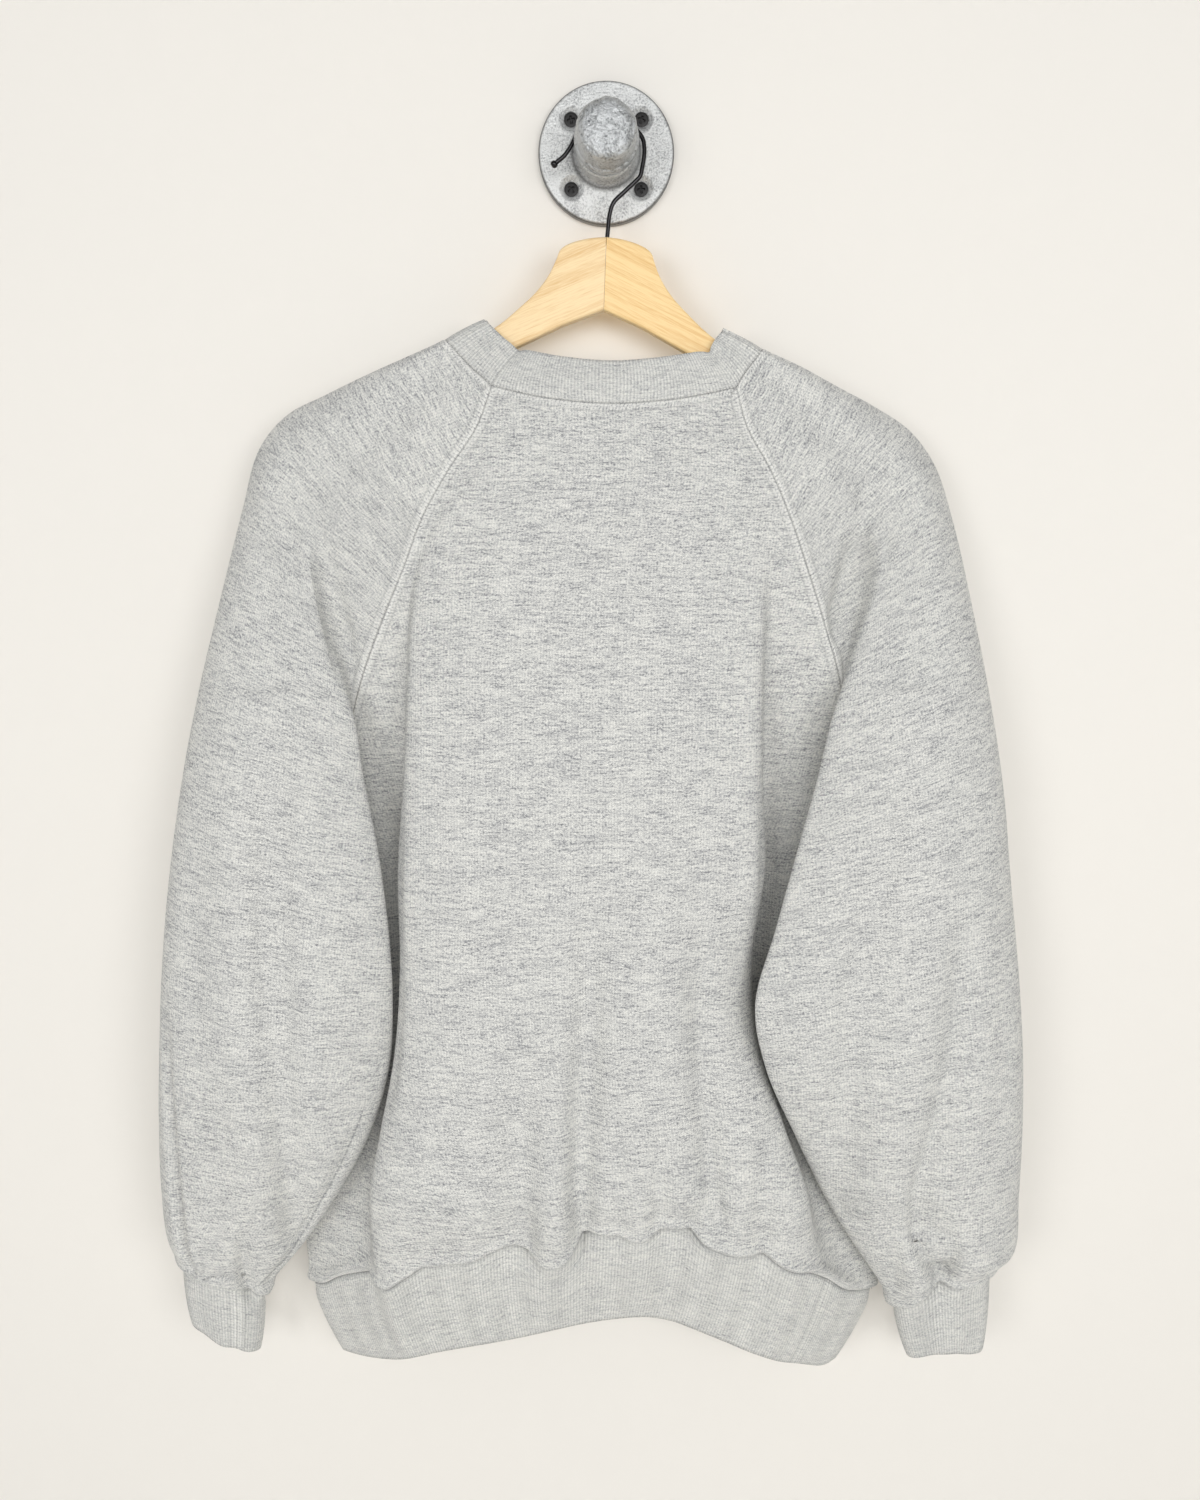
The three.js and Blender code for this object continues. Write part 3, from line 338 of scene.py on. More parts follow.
def spline(points, steps):
    """Centripetal Catmull-Rom curves through points (n, ..., 3), at shares 0 to 1 of their spans."""
    place = (len(points) - 1) * np.asarray(steps, float)
    span = np.minimum(place.astype(int), len(points) - 2)
    t = (place - span).reshape(-1, *[1] * (points.ndim - 1))
    first = 2 * points[:1] - points[1:2]
    last = 2 * points[-1:] - points[-2:-1]
    padded = np.concatenate([first, points, last])
    p0, p1, p2, p3 = (padded[span + k] for k in range(4))
    gap = [np.linalg.norm(b - a, axis=-1, keepdims=True) ** 0.5 for a, b in ((p0, p1), (p1, p2), (p2, p3))]
    gap[1] = np.where(gap[1] < 1e-4, 1, gap[1])
    gap[0] = np.where(gap[0] < 1e-4, gap[1], gap[0])
    gap[2] = np.where(gap[2] < 1e-4, gap[1], gap[2])
    g0, g1, g2 = gap
    t1 = ((p1 - p0) / g0 - (p2 - p0) / (g0 + g1) + (p2 - p1) / g1) * g1
    t2 = ((p2 - p1) / g1 - (p3 - p1) / (g1 + g2) + (p3 - p2) / g2) * g1
    return p1 + t1 * t + (3 * (p2 - p1) - 2 * t1 - t2) * t**2 + (2 * (p1 - p2) + t1 + t2) * t**3


# The panels, from their rows of control points to fine grids with the main folds
def back_rows():
    row = np.arange(len(MIDDLE["backZ"]))
    middle_x = (BACK_LEFT["edgeX"] + BACK_RIGHT["edgeX"]) / 2
    droop = lerp(2, 1.2, smooth((row - 9) / 5))

    def half(side):
        def dip(x):
            share = (x - middle_x) / (side["seamX"] - middle_x)
            return lerp(MIDDLE["backZ"], side["z"], share**droop)

        seam = point(side["seamX"], side["seamD"], side["z"])
        root = point(side["rootX"], side["rootD"], dip(side["rootX"]))
        edge = point(side["edgeX"], side["edgeD"], dip(side["edgeX"]))
        bulk_x = lerp(side["edgeX"], middle_x, 0.26)
        bulk = point(bulk_x, lerp(side["edgeD"], MIDDLE["backD"], 0.8), dip(bulk_x))
        return [seam, (seam + root) / 2, root, edge, bulk]

    middle = point(middle_x, MIDDLE["backD"], MIDDLE["backZ"])
    return np.stack([*half(BACK_LEFT), middle, *half(BACK_RIGHT)[::-1]], 1)


def front_rows():
    on_body = np.arange(len(MIDDLE["backZ"]))[:, None] >= YOKE_ROWS

    def side(back, x):
        yoke = point(x, MIDDLE["frontSeamD"], MIDDLE["frontSeamZ"])
        seam = np.where(on_body, point(back["seamX"], back["seamD"], back["z"]), yoke)
        lift = lerp(MIDDLE["frontD"], -seam[:, 1], 0.25)

        def part(share, d):
            return point(seam[:, 0] * share, d, lerp(MIDDLE["frontZ"], seam[:, 2], share**2))

        return [seam, part(0.9, lift), part(0.6, MIDDLE["frontD"])]

    middle = point(0, MIDDLE["frontD"], MIDDLE["frontZ"])
    right = side(BACK_RIGHT, MIDDLE["frontRight"])
    left = side(BACK_LEFT, MIDDLE["frontLeft"])
    return np.stack([*right, middle, *left[::-1]], 1)


def sleeve_rows(sleeve, back, underarm, front_side, wall):
    seam = point(underarm["x"], underarm["d"], underarm["z"])
    back_yoke = point(back["seamX"], back["seamD"], back["z"])[:YOKE_ROWS]
    front_yoke = point(MIDDLE[front_side], MIDDLE["frontSeamD"], MIDDLE["frontSeamZ"])[:YOKE_ROWS]
    back_seam = np.concatenate([back_yoke, seam])
    front_seam = np.concatenate([front_yoke, seam])
    edge = point(sleeve["edgeX"], sleeve["edgeD"], sleeve["edgeZ"])
    out = point(sleeve["outX"], sleeve["outD"], sleeve["outZ"])
    outer_d = sleeve["outD"] + sleeve["round"]
    turn = 1 - 0.45 * sleeve["round"] / np.linalg.norm(edge - out, axis=1)

    def across(start, share, d):
        return point(lerp(start[:, 0], out[:, 0], share), d, lerp(start[:, 2], out[:, 2], share))

    return np.stack([
        back_seam,
        point(sleeve["foldX"], sleeve["foldD"], sleeve["foldZ"]),
        edge,
        across(edge, 0.32, lerp(sleeve["edgeD"], sleeve["bulge"], 0.85)),
        across(edge, 0.68, lerp(outer_d, sleeve["bulge"], 0.85)),
        across(edge, turn, outer_d),
        out,
        across(front_seam, turn, sleeve["outD"] - sleeve["round"]),
        across(front_seam, wall["out"], sleeve["wallOut"]),
        across(front_seam, wall["in"], sleeve["wallIn"]),
        front_seam,
    ], 1)


BACK_SPANS = (2, 2, 3, 3, 4, 4, 3, 3, 2, 2)
FRONT_SPANS = (2, 3, 3, 3, 3, 2)
SLEEVE_SPANS = (2, 2, 3, 3, 2, 2, 2, 2, 2, 2)
OUT_COLUMN = 6  # the sleeve's silhouette among its columns


def fine_spans(rows):
    """How many steps each span of a panel's rows takes, from its mean length. The seams' spans are finer."""
    lengths = np.linalg.norm(np.diff(rows, axis=1), axis=2).mean(0)
    steps = [SEAM_STEP, *[CLOTH_STEP] * (len(lengths) - 2), SEAM_STEP]
    return [max(2, math.ceil(length / step)) for length, step in zip(lengths, steps)]


def sheet(rows, before, after, levels, spans):
    """The cloth's points (levels, columns, 3). before and after are the neighbour panels' points."""
    shares = levels / (len(rows) - 1)
    lines = spline(rows, shares)
    for c in (0, -1):
        upper = spline(rows[: YOKE_ROWS + 1, c], np.minimum(levels / YOKE_ROWS, 1))
        lower_rows = rows[YOKE_ROWS:, c]
        lower = spline(lower_rows, np.maximum(levels - YOKE_ROWS, 0) / (len(lower_rows) - 1))
        lines[:, c] = np.where(levels[:, None] <= YOKE_ROWS, upper, lower)
    edges = [spline(line, shares)[:, None] for line in (before, after)]
    lines = np.concatenate([edges[0], lines, edges[1]], 1)
    starts = [span + s / steps for span, steps in enumerate(spans) for s in range(steps)]
    places = (np.array([*starts, len(spans)]) + 1) / (len(spans) + 2)
    return np.moveaxis(spline(np.moveaxis(lines, 1, 0), places), 0, 1)


def levels_of(rows, lower_steps, hem_share):
    """Levels down a panel, closer together where the cloth rolls over the rib band below it."""
    last = rows - 1
    yoke = np.linspace(0, YOKE_ROWS, YOKE_LEVELS)[:-1]
    lower = np.linspace(YOKE_ROWS, last - hem_share, lower_steps)[:-1]
    return np.concatenate([yoke, lower, np.linspace(last - hem_share, last, ROLL_LEVELS)])


BACK_ROWS = back_rows()
FRONT_ROWS = front_rows()
LEFT_ROWS = sleeve_rows(SLEEVE_LEFT, BACK_LEFT, UNDERARM_LEFT, "frontLeft", WALL_LEFT)
RIGHT_ROWS = sleeve_rows(SLEEVE_RIGHT, BACK_RIGHT, UNDERARM_RIGHT, "frontRight", WALL_RIGHT)
BODY_LEVELS = levels_of(len(BACK_ROWS), lower_steps=100, hem_share=0.25)
SLEEVE_LEVELS = levels_of(len(LEFT_ROWS), lower_steps=122, hem_share=0.5)


def beside_body(sleeve, sleeve_column, body, body_column):
    row = np.arange(len(body))
    below = smooth((row - 5) / 4)[:, None]
    return lerp(sleeve[np.minimum(row, YOKE_ROWS), sleeve_column], body[:, body_column], below)


def beside_sleeve(body, body_column, sleeve, sleeve_column):
    row = np.arange(len(sleeve))
    below = smooth((row - 5) / 4)[:, None]
    return lerp(body[np.minimum(row, YOKE_ROWS), body_column], sleeve[:, sleeve_column], below)


def sleeve_grid(rows, back_column, front_column):
    before = beside_sleeve(BACK_ROWS, back_column, rows, -2)
    after = beside_sleeve(FRONT_ROWS, front_column, rows, 1)
    return sheet(rows, before, after, SLEEVE_LEVELS, fine_spans(rows))


def grid_normals(grid, wrap=False):
    if wrap:
        across = np.roll(grid, -1, 1) - np.roll(grid, 1, 1)
    else:
        across = np.gradient(grid, axis=1)
    down = np.gradient(grid, axis=0)
    return unit(np.cross(down, across))


def coarse_steps(spans, fine):
    """Where each fine column lies, counted in the coarse steps of the solids."""
    starts = np.cumsum([0, *spans])
    places = [starts[k] + spans[k] * s / fine[k] for k in range(len(spans)) for s in range(fine[k])]
    return np.array([*places, starts[-1]])


def fold_height(folds, points):
    total = np.zeros(points.shape[:-1])
    for top_x, top_z, foot_x, foot_z, width, out, fade in zip(*folds.values()):
        along = (top_z - points[..., 2]) / (top_z - foot_z)
        x = lerp(top_x, foot_x, np.minimum(along, 1))
        grown = smooth((top_z - points[..., 2]) / fade)
        height = out * grown * np.exp(-(((points[..., 0] - x) / width) ** 2))
        total += np.where((along >= 0) & (along <= 1.12), height, 0)
    return total


def folded(grid, folds, facing, columns, rows_held):
    """Moves a panel's points along their normals by its folds. facing is -1 for cloth towards the viewer."""
    normals = grid_normals(grid)
    faces = np.clip(normals[..., 1] * facing * FACING_GAIN, 0, 1)
    held = np.minimum.reduce([
        np.ones(grid.shape[:2]),
        np.broadcast_to(columns / 2, grid.shape[:2]),
        np.broadcast_to((columns[-1] - columns) / 2, grid.shape[:2]),
        np.broadcast_to(rows_held[:, None], grid.shape[:2]),
    ])
    return grid + normals * (fold_height(folds, grid) * faces * held)[..., None]


def rows_free(levels, yoke_steps, lower_steps):
    """How free each level is of the seams above and below it, from 0 on a seam to 1."""
    last = levels[-1]
    coarse = np.where(
        levels < YOKE_ROWS,
        levels / YOKE_ROWS * yoke_steps,
        yoke_steps + (levels - YOKE_ROWS) / (last - YOKE_ROWS) * lower_steps,
    )
    return np.minimum.reduce([np.ones(len(levels)), coarse / 2, (yoke_steps + lower_steps - coarse) / 1.5])


BODY_FREE = rows_free(BODY_LEVELS, yoke_steps=12, lower_steps=11)
SLEEVE_FREE = rows_free(SLEEVE_LEVELS, yoke_steps=12, lower_steps=13)


def make_panels():
    right = sleeve_grid(RIGHT_ROWS, -2, 1)
    left = sleeve_grid(LEFT_ROWS, 1, -2)[:, ::-1]
    back = sheet(
        BACK_ROWS,
        beside_body(LEFT_ROWS, 1, FRONT_ROWS, -2),
        beside_body(RIGHT_ROWS, 1, FRONT_ROWS, 1),
        BODY_LEVELS, fine_spans(BACK_ROWS))
    front = sheet(
        FRONT_ROWS,
        beside_body(RIGHT_ROWS, -2, BACK_ROWS, -2),
        beside_body(LEFT_ROWS, -2, BACK_ROWS, 1),
        BODY_LEVELS, fine_spans(FRONT_ROWS))
    right_steps = coarse_steps(SLEEVE_SPANS, fine_spans(RIGHT_ROWS))
    left_steps = coarse_steps(SLEEVE_SPANS, fine_spans(LEFT_ROWS))
    left_steps = left_steps[-1] - left_steps[::-1]
    return {
        "back": folded(back, BACK_FOLDS, -1, coarse_steps(BACK_SPANS, fine_spans(BACK_ROWS)), BODY_FREE),
        "front": folded(front, FRONT_FOLDS, 1, coarse_steps(FRONT_SPANS, fine_spans(FRONT_ROWS)), BODY_FREE),
        "sleeve_left": folded(left, LEFT_SLEEVE_FOLDS, -1, left_steps, SLEEVE_FREE),
        "sleeve_right": folded(right, RIGHT_SLEEVE_FOLDS, -1, right_steps, SLEEVE_FREE),
    }


def shared_normals(panels):
    """Each panel's normals, with one normal for all the points that panels share on a seam."""
    normals = [grid_normals(grid) for grid in panels.values()]
    keys = np.concatenate([np.round(grid.reshape(-1, 3) * 50).astype(int) for grid in panels.values()])
    flat = np.concatenate([n.reshape(-1, 3) for n in normals])
    _, slot = np.unique(keys, axis=0, return_inverse=True)
    slot = slot.ravel()
    sums = np.zeros((slot.max() + 1, 3))
    np.add.at(sums, slot, flat)
    joined = unit(sums)[slot]
    parts = np.split(joined, np.cumsum([n.shape[0] * n.shape[1] for n in normals])[:-1])
    return {name: part.reshape(n.shape) for name, part, n in zip(panels, parts, normals)}


# The panels' finish: finer creases, lips and seam ridges
def line_gap(flat, line):
    """Each point's distance in x and z from a line of (x, z, ...) points, with a sign for its side of the
    line, and the line's row there."""
    best = np.full(flat.shape[:-1], np.inf)
    side = np.ones(flat.shape[:-1])
    rows = np.zeros((*flat.shape[:-1], line.shape[1]))
    for a, b in zip(line[:-1], line[1:]):
        step = b - a
        off = flat - a[:2]
        t = np.clip(off @ step[:2] / (step[:2] @ step[:2]), 0, 1)
        here = a + t[..., None] * step
        gap = np.linalg.norm(flat - here[..., :2], axis=-1)
        nearer = gap < best
        rows = np.where(nearer[..., None], here, rows)
        side = np.where(nearer, np.sign(off[..., 0] * step[1] - off[..., 1] * step[0]), side)
        best = np.minimum(best, gap)
    return best * side, rows


def crease_depth(creases, points):
    total = np.zeros(points.shape[:-1])
    for crease in creases:
        gap, rows = line_gap(points[..., (0, 2)], np.array(crease, float))
        total += rows[..., 2] * np.exp(-(np.abs(gap / rows[..., 3]) ** 1.7))
    return total


def lip_curve(lip, column, x):
    """A column of a lip's table at each x, with its corners rounded off."""
    fine = np.arange(lip["x"][0] - 20, lip["x"][-1] + 20.5, 1.0)
    kernel = np.exp(-((np.arange(-8, 9) / LIP_ROUNDING) ** 2))
    values = np.interp(fine, lip["x"], lip[column])
    padded = np.pad(values, 8, mode="edge")
    return np.interp(x, fine, np.convolve(padded, kernel / kernel.sum(), mode="valid"))


def edge_gaps(grid):
    """Each point's distance from its panel's left, right, top and bottom edges."""
    across = np.linalg.norm(np.diff(grid, axis=1), axis=2)
    from_left = np.concatenate([np.zeros((len(grid), 1)), np.cumsum(across, 1)], 1)
    down = np.linalg.norm(np.diff(grid, axis=0), axis=2)
    from_top = np.concatenate([np.zeros((1, grid.shape[1])), np.cumsum(down, 0)], 0)
    return np.stack([from_left, from_left[:, -1:] - from_left, from_top, from_top[-1:] - from_top])


def hump(distance, middle, width):
    return np.exp(-(((distance - middle) / width) ** 2))


def finished(panels):
    """The panels with their finer creases, the ridges along their seams and their lips over the rib bands."""
    done = {}
    for (name, grid), normals in zip(panels.items(), shared_normals(panels).values()):
        facing = 1 if name == "front" else -1
        gaps = edge_gaps(grid)
        above = gaps[3]
        lip = LIPS[name]
        drop = lip_curve(lip, "drop", grid[..., 0])
        bulge = lip_curve(lip, "bulge", grid[..., 0])
        faces = np.clip(normals[..., 1] * facing * FACING_GAIN, 0, 1)
        free = np.minimum(gaps[:3].min(0) / SEAM_FREE, 1) * faces
        out = -CREASE_SCALE * crease_depth(CREASES[name], grid) * free
        beside = np.minimum(gaps[:2].min(0) / SEAM_FREE, 1)
        out += bulge * np.exp(-((above / LIP_BULGE_REACH) ** 1.5)) * beside
        out += 2.4 * hump(above, 5.5, 4) - 2.6 * hump(above, 0, 2.2)
        seam = gaps.min(0)
        out += 0.5 * hump(seam, 2.5, 1.5) - 0.1 * hump(seam, 0, 1)
        moved = grid + normals * out[..., None]
        moved[..., 2] -= drop * (1 - smooth(above / LIP_REACH[name]))
        done[name] = moved
    return done


PLAIN_PANELS = make_panels()
PANELS = finished(PLAIN_PANELS)


# Where the knit runs on each panel
def body_courses(grid, facing):
    """Knit coordinates of a body panel: u along its courses from the middle, v down its wales."""
    middle = grid.shape[1] // 2
    steps = np.linalg.norm(np.diff(grid, axis=1), axis=2)
    u = np.concatenate([np.zeros((len(grid), 1)), np.cumsum(steps, 1)], 1)
    u = (u - u[:, middle : middle + 1]) * facing
    down = np.linalg.norm(np.diff(grid[:, middle], axis=0), axis=1)
    v_middle = np.concatenate([[0], np.cumsum(down)])
    v = v_middle[:, None] + grid[:, middle : middle + 1, 2] - grid[..., 2]
    return u, v


def sleeve_courses(grid, out, side):
    """The same on a sleeve, where the courses run down towards the body by SLEEVE_GRAIN. side is -1 or 1."""
    angle = np.radians(np.interp(SLEEVE_LEVELS, np.arange(len(SLEEVE_GRAIN)), SLEEVE_GRAIN))
    down = np.stack([side * np.sin(angle), -np.cos(angle)], 1)
    flat = grid[..., (0, 2)]
    silhouette = flat[:, out]
    half_way = (down[1:] + down[:-1]) / 2
    run = np.sum(np.diff(silhouette, axis=0) * half_way, 1)
    v_out = np.concatenate([[0], np.cumsum(run)])
    v = v_out[:, None] + np.einsum("ijk,ik->ij", flat - silhouette[:, None], down)
    steps = np.linalg.norm(np.diff(grid, axis=1), axis=2)
    u = np.concatenate([np.zeros((len(grid), 1)), np.cumsum(steps, 1)], 1)
    return u - u[:, out : out + 1], v


def out_index(rows, reversed_columns):
    before = sum(fine_spans(rows)[:OUT_COLUMN])
    return sum(fine_spans(rows)) - before if reversed_columns else before


COURSES = {
    "back": body_courses(PANELS["back"], 1),
    "front": body_courses(PANELS["front"], 1),
    "sleeve_left": sleeve_courses(PANELS["sleeve_left"], out_index(LEFT_ROWS, True), -1),
    "sleeve_right": sleeve_courses(PANELS["sleeve_right"], out_index(RIGHT_ROWS, False), 1),
}


# The rib bands
def ring_of(*rows):
    return np.concatenate([row[:-1] for row in rows])


def rib_ring(ring, plain, pitch):
    """The ring again with four points to each rib, its plain form's same points, and their places round."""
    closed = np.concatenate([plain, plain[:1]])[:, :3]
    length = np.concatenate([[0], np.cumsum(np.linalg.norm(np.diff(closed, axis=0), axis=1))])
    ribs = round(length[-1] / pitch)
    places = np.arange(4 * ribs) / (4 * ribs) * length[-1]

    def resampled(values):
        values = np.concatenate([values, values[:1]])
        return np.stack([np.interp(places, length, column) for column in values.T], 1)

    return resampled(ring), resampled(plain), places


def hem_end(points):
    x = points[:, 0] * HEM_SHRINK + HEM_SHIFT
    edge = spline(point(HEM_EDGE["x"], 0, HEM_EDGE["z"]), np.linspace(0, 1, 61))
    return point(x, HEM_OFF_WALL - points[:, 1] * HEM_FLATTEN, np.interp(x, edge[:, 0], edge[:, 2]))


def cuff_end(points, cuff):
    by_side = points[np.argsort(np.abs(points[:, 0])), 0]
    inner_x, outer_x = by_side[0], by_side[-1]
    share = (points[:, 0] - inner_x) / (outer_x - inner_x)
    middle_y = points[:, 1].mean()
    x = points[:, 0] + lerp(cuff["innerX"], cuff["outerX"], share)
    z = points[:, 2] + lerp(cuff["innerZ"], cuff["outerZ"], share)
    return point(x, -(middle_y + (points[:, 1] - middle_y) * cuff["depth"]), z)


def neck_shares():
    """How far round from the middle of the back to the middle of the front each neck point lies."""
    def shares_over(spans, turn, start, middle, end):
        places = [k + s / steps for k, steps in enumerate(spans) for s in range(steps)]
        return np.interp(places, [0, turn, len(spans)], [start, middle, end])

    back = fine_spans(BACK_ROWS)
    front = fine_spans(FRONT_ROWS)
    return np.concatenate([
        shares_over(back, 5, 0.25, 0, 0.25),
        shares_over(fine_spans(RIGHT_ROWS), 6, 0.25, 0.5, 0.75),
        shares_over(front, 3, 0.75, 1, 0.75),
        shares_over(fine_spans(LEFT_ROWS)[::-1], 4, 0.75, 0.5, 0.25),
    ])


def collar_end(points, shares):
    lean = spline(point(COLLAR_LEAN["across"], COLLAR_LEAN["out"], COLLAR_LEAN["up"]), shares)
    lean = unit(lean) * COLLAR_HEIGHT
    lean[:, 0] *= -np.sign(points[:, 0]) * np.minimum(1, np.abs(points[:, 0]) / 30)
    return points + lean


def calmed(ring, places, reach):
    """A closed ring of points with the waves of its depth evened out over reach mm."""
    length = places[-1] + places[1]
    gaps = np.abs(places[:, None] - places[None])
    weights = np.exp(-((np.minimum(gaps, length - gaps) / reach) ** 2))
    even = ring.copy()
    even[:, 1] = weights @ ring[:, 1] / weights.sum(1)
    return even


def band(ring, plain, end, swell, rows, rib_height):
    """A rib band's outer points from its seam down, with a raised rib at every fourth point. It leaves the
    lip's lobes for its plain form over the first part of its height."""
    outward = plain - plain.mean(0)
    outward[:, 2] = 0
    outward = unit(outward)
    t = np.linspace(0, 1, rows)[:, None, None]
    rib = rib_height * np.array([0.0, 1.0, 0.0, -1.0])[np.arange(len(ring)) % 4]
    # The ribs fade out at the seam and at the folded edge.
    free = np.minimum(1, np.minimum(t * 6, (1 - t) * 10))[..., 0]
    bulge = swell * 4 * t * (1 - t) + (rib * free)[..., None]
    lobes = (ring - plain) * (1, 1, 0)
    drop = (ring - plain) * (0, 0, 1)
    calm = 1 - smooth(t / 0.25)
    return lerp(plain[None], end[None], t) + lobes * calm + drop * (1 - t) + outward[None] * bulge


def make_bands():
    neck_names = ("back", "sleeve_right", "front", "sleeve_left")
    neck = ring_of(*(PANELS[name][0] for name in neck_names))
    plain_neck = ring_of(*(PLAIN_PANELS[name][0] for name in neck_names))
    shares = neck_shares()
    ring, plain, around = rib_ring(neck, np.column_stack([plain_neck, shares]), COLLAR_PITCH)
    collar_edge = collar_end(plain[:, :3], plain[:, 3])
    collar = band(ring, plain[:, :3], collar_edge, swell=1.5, rows=15, rib_height=0.22)
    grids = {"collar": collar[::-1]}
    courses = {"collar": around}
    hem, plain_hem = (ring_of(panels["back"][-1], panels["front"][-1]) for panels in (PANELS, PLAIN_PANELS))
    ring, plain, courses["hem_band"] = rib_ring(hem, plain_hem, RIB_PITCH)
    plain = calmed(plain, courses["hem_band"], reach=16)
    grids["hem_band"] = band(ring, plain, hem_end(plain), swell=2, rows=24, rib_height=0.18)
    for side, cuff in (("left", CUFF_LEFT), ("right", CUFF_RIGHT)):
        edge, plain_edge = (panels[f"sleeve_{side}"][-1][:-1] for panels in (PANELS, PLAIN_PANELS))
        ring, plain, courses[f"cuff_{side}"] = rib_ring(edge, plain_edge, RIB_PITCH)
        end = cuff_end(plain, cuff)
        end[:, 2] -= lip_curve(CUFF_EDGES[side], "drop", end[:, 0])
        grids[f"cuff_{side}"] = band(ring, plain, end, swell=1.5, rows=20, rib_height=0.18)
    return grids, courses


BANDS, BAND_COURSES = make_bands()


# The cloth's meshes
FAR = 99.0  # stands for no seam or lip near
PRESSED_LINE = 5  # the pressed line's place among the left sleeve's creases
# Where each rib band is joined: an x, and the side of the garment, -1 towards the viewer.
BAND_JOINTS = {"collar": (-70, 1), "hem_band": (150, -1), "cuff_left": (-264, -1), "cuff_right": (226, 1)}


def wall_mesh(name, grid, normals, wall, wrap, values):
    """A closed wall of cloth: the outer points, the same moved in by its thickness, and the rim between."""
    rows, columns = grid.shape[:2]
    points = np.concatenate([grid.reshape(-1, 3), (grid - normals * wall).reshape(-1, 3)]) * MM
    index = np.arange(rows * columns).reshape(rows, columns)
    if wrap:
        index = np.concatenate([index, index[:, :1]], 1)

    def quads(a, b, c, d):
        return np.stack([a.ravel(), b.ravel(), c.ravel(), d.ravel()], 1)

    inner = index + rows * columns
    faces = [
        quads(index[:-1, :-1], index[1:, :-1], index[1:, 1:], index[:-1, 1:]),
        quads(inner[:-1, :-1], inner[:-1, 1:], inner[1:, 1:], inner[1:, :-1]),
        quads(index[0, :-1], index[0, 1:], inner[0, 1:], inner[0, :-1]),
        quads(index[-1, :-1], inner[-1, :-1], inner[-1, 1:], index[-1, 1:]),
    ]
    if not wrap:
        faces.append(quads(index[:-1, 0], inner[:-1, 0], inner[1:, 0], index[1:, 0]))
        faces.append(quads(index[:-1, -1], index[1:, -1], inner[1:, -1], inner[:-1, -1]))
    doubled = {key: np.concatenate([vectors, vectors]) for key, vectors in values.items()}
    return mesh_object(name, points, np.concatenate(faces), doubled)


def mesh_object(name, points, faces, values=None):
    mesh = bpy.data.meshes.new(name)
    mesh.from_pydata([tuple(p) for p in points], [], [tuple(f) for f in faces.tolist()])
    for key, vectors in (values or {}).items():
        layer = mesh.attributes.new(key, "FLOAT_VECTOR", "POINT")
        layer.data.foreach_set("vector", vectors.astype(np.float32).ravel())
    mesh.polygons.foreach_set("use_smooth", np.ones(len(mesh.polygons), bool))
    obj = bpy.data.objects.new(name, mesh)
    bpy.context.scene.collection.objects.link(obj)
    return obj


def knit_of(u, v, number):
    return np.stack([u, v, np.full(u.shape, 100.0 * number)], -1).reshape(-1, 3)


def panel_sewing(name, grid):
    """Distance from the nearest seam, the way along it, and the distance from a pressed line of stitches."""
    gaps = edge_gaps(grid)
    along = np.where(gaps.argmin(0) < 2, gaps[2], gaps[0])
    pressed = np.full(along.shape, FAR)
    if name == "sleeve_left":
        line = np.array(CREASES[name][PRESSED_LINE], float)
        gap, _ = line_gap(grid[..., (0, 2)], line)
        grows = grid_normals(grid)[..., 1] < 0
        pressed = np.where(grows, gap, FAR)
    return np.stack([gaps.min(0), along, pressed], -1).reshape(-1, 3)


def band_sewing(name, grid, u, v):
    """The same on a rib band, which has one joint across it."""
    x, facing = BAND_JOINTS[name]
    middle = grid[len(grid) // 2]
    on_side = (middle[:, 1] - middle[:, 1].mean()) * facing > 0
    joint = np.where(on_side, np.abs(middle[:, 0] - x), np.inf).argmin()
    around = np.abs(u - u[:, joint : joint + 1])
    return np.stack([around, v, np.full(u.shape, FAR)], -1).reshape(-1, 3)


def lip_of(distance):
    """The distance from the line where a panel's lip meets its rib band."""
    return np.repeat(distance.reshape(-1, 1), 3, 1)


def make_cloth():
    made = {}
    normals = shared_normals(PANELS)
    for number, (name, grid) in enumerate(PANELS.items()):
        values = {"knit": knit_of(*COURSES[name], number), "sewing": panel_sewing(name, grid)}
        values["lip"] = lip_of(edge_gaps(grid)[3])
        made[name] = wall_mesh(f"{name}_cloth", grid, normals[name], CLOTH, False, values)
    for number, (name, grid) in enumerate(BANDS.items()):
        down = np.linalg.norm(np.diff(grid, axis=0), axis=2).mean(1)
        v = np.concatenate([[0], np.cumsum(down)])
        u, v = np.meshgrid(BAND_COURSES[name], v)
        values = {"knit": knit_of(u, v, number + 10), "sewing": band_sewing(name, grid, u, v)}
        values["lip"] = lip_of(np.full(v.shape, FAR) if name == "collar" else v)
        made[name] = wall_mesh(f"{name}_rib", grid, grid_normals(grid, True), RIB, True, values)
    return made


CLOTHS = make_cloth()


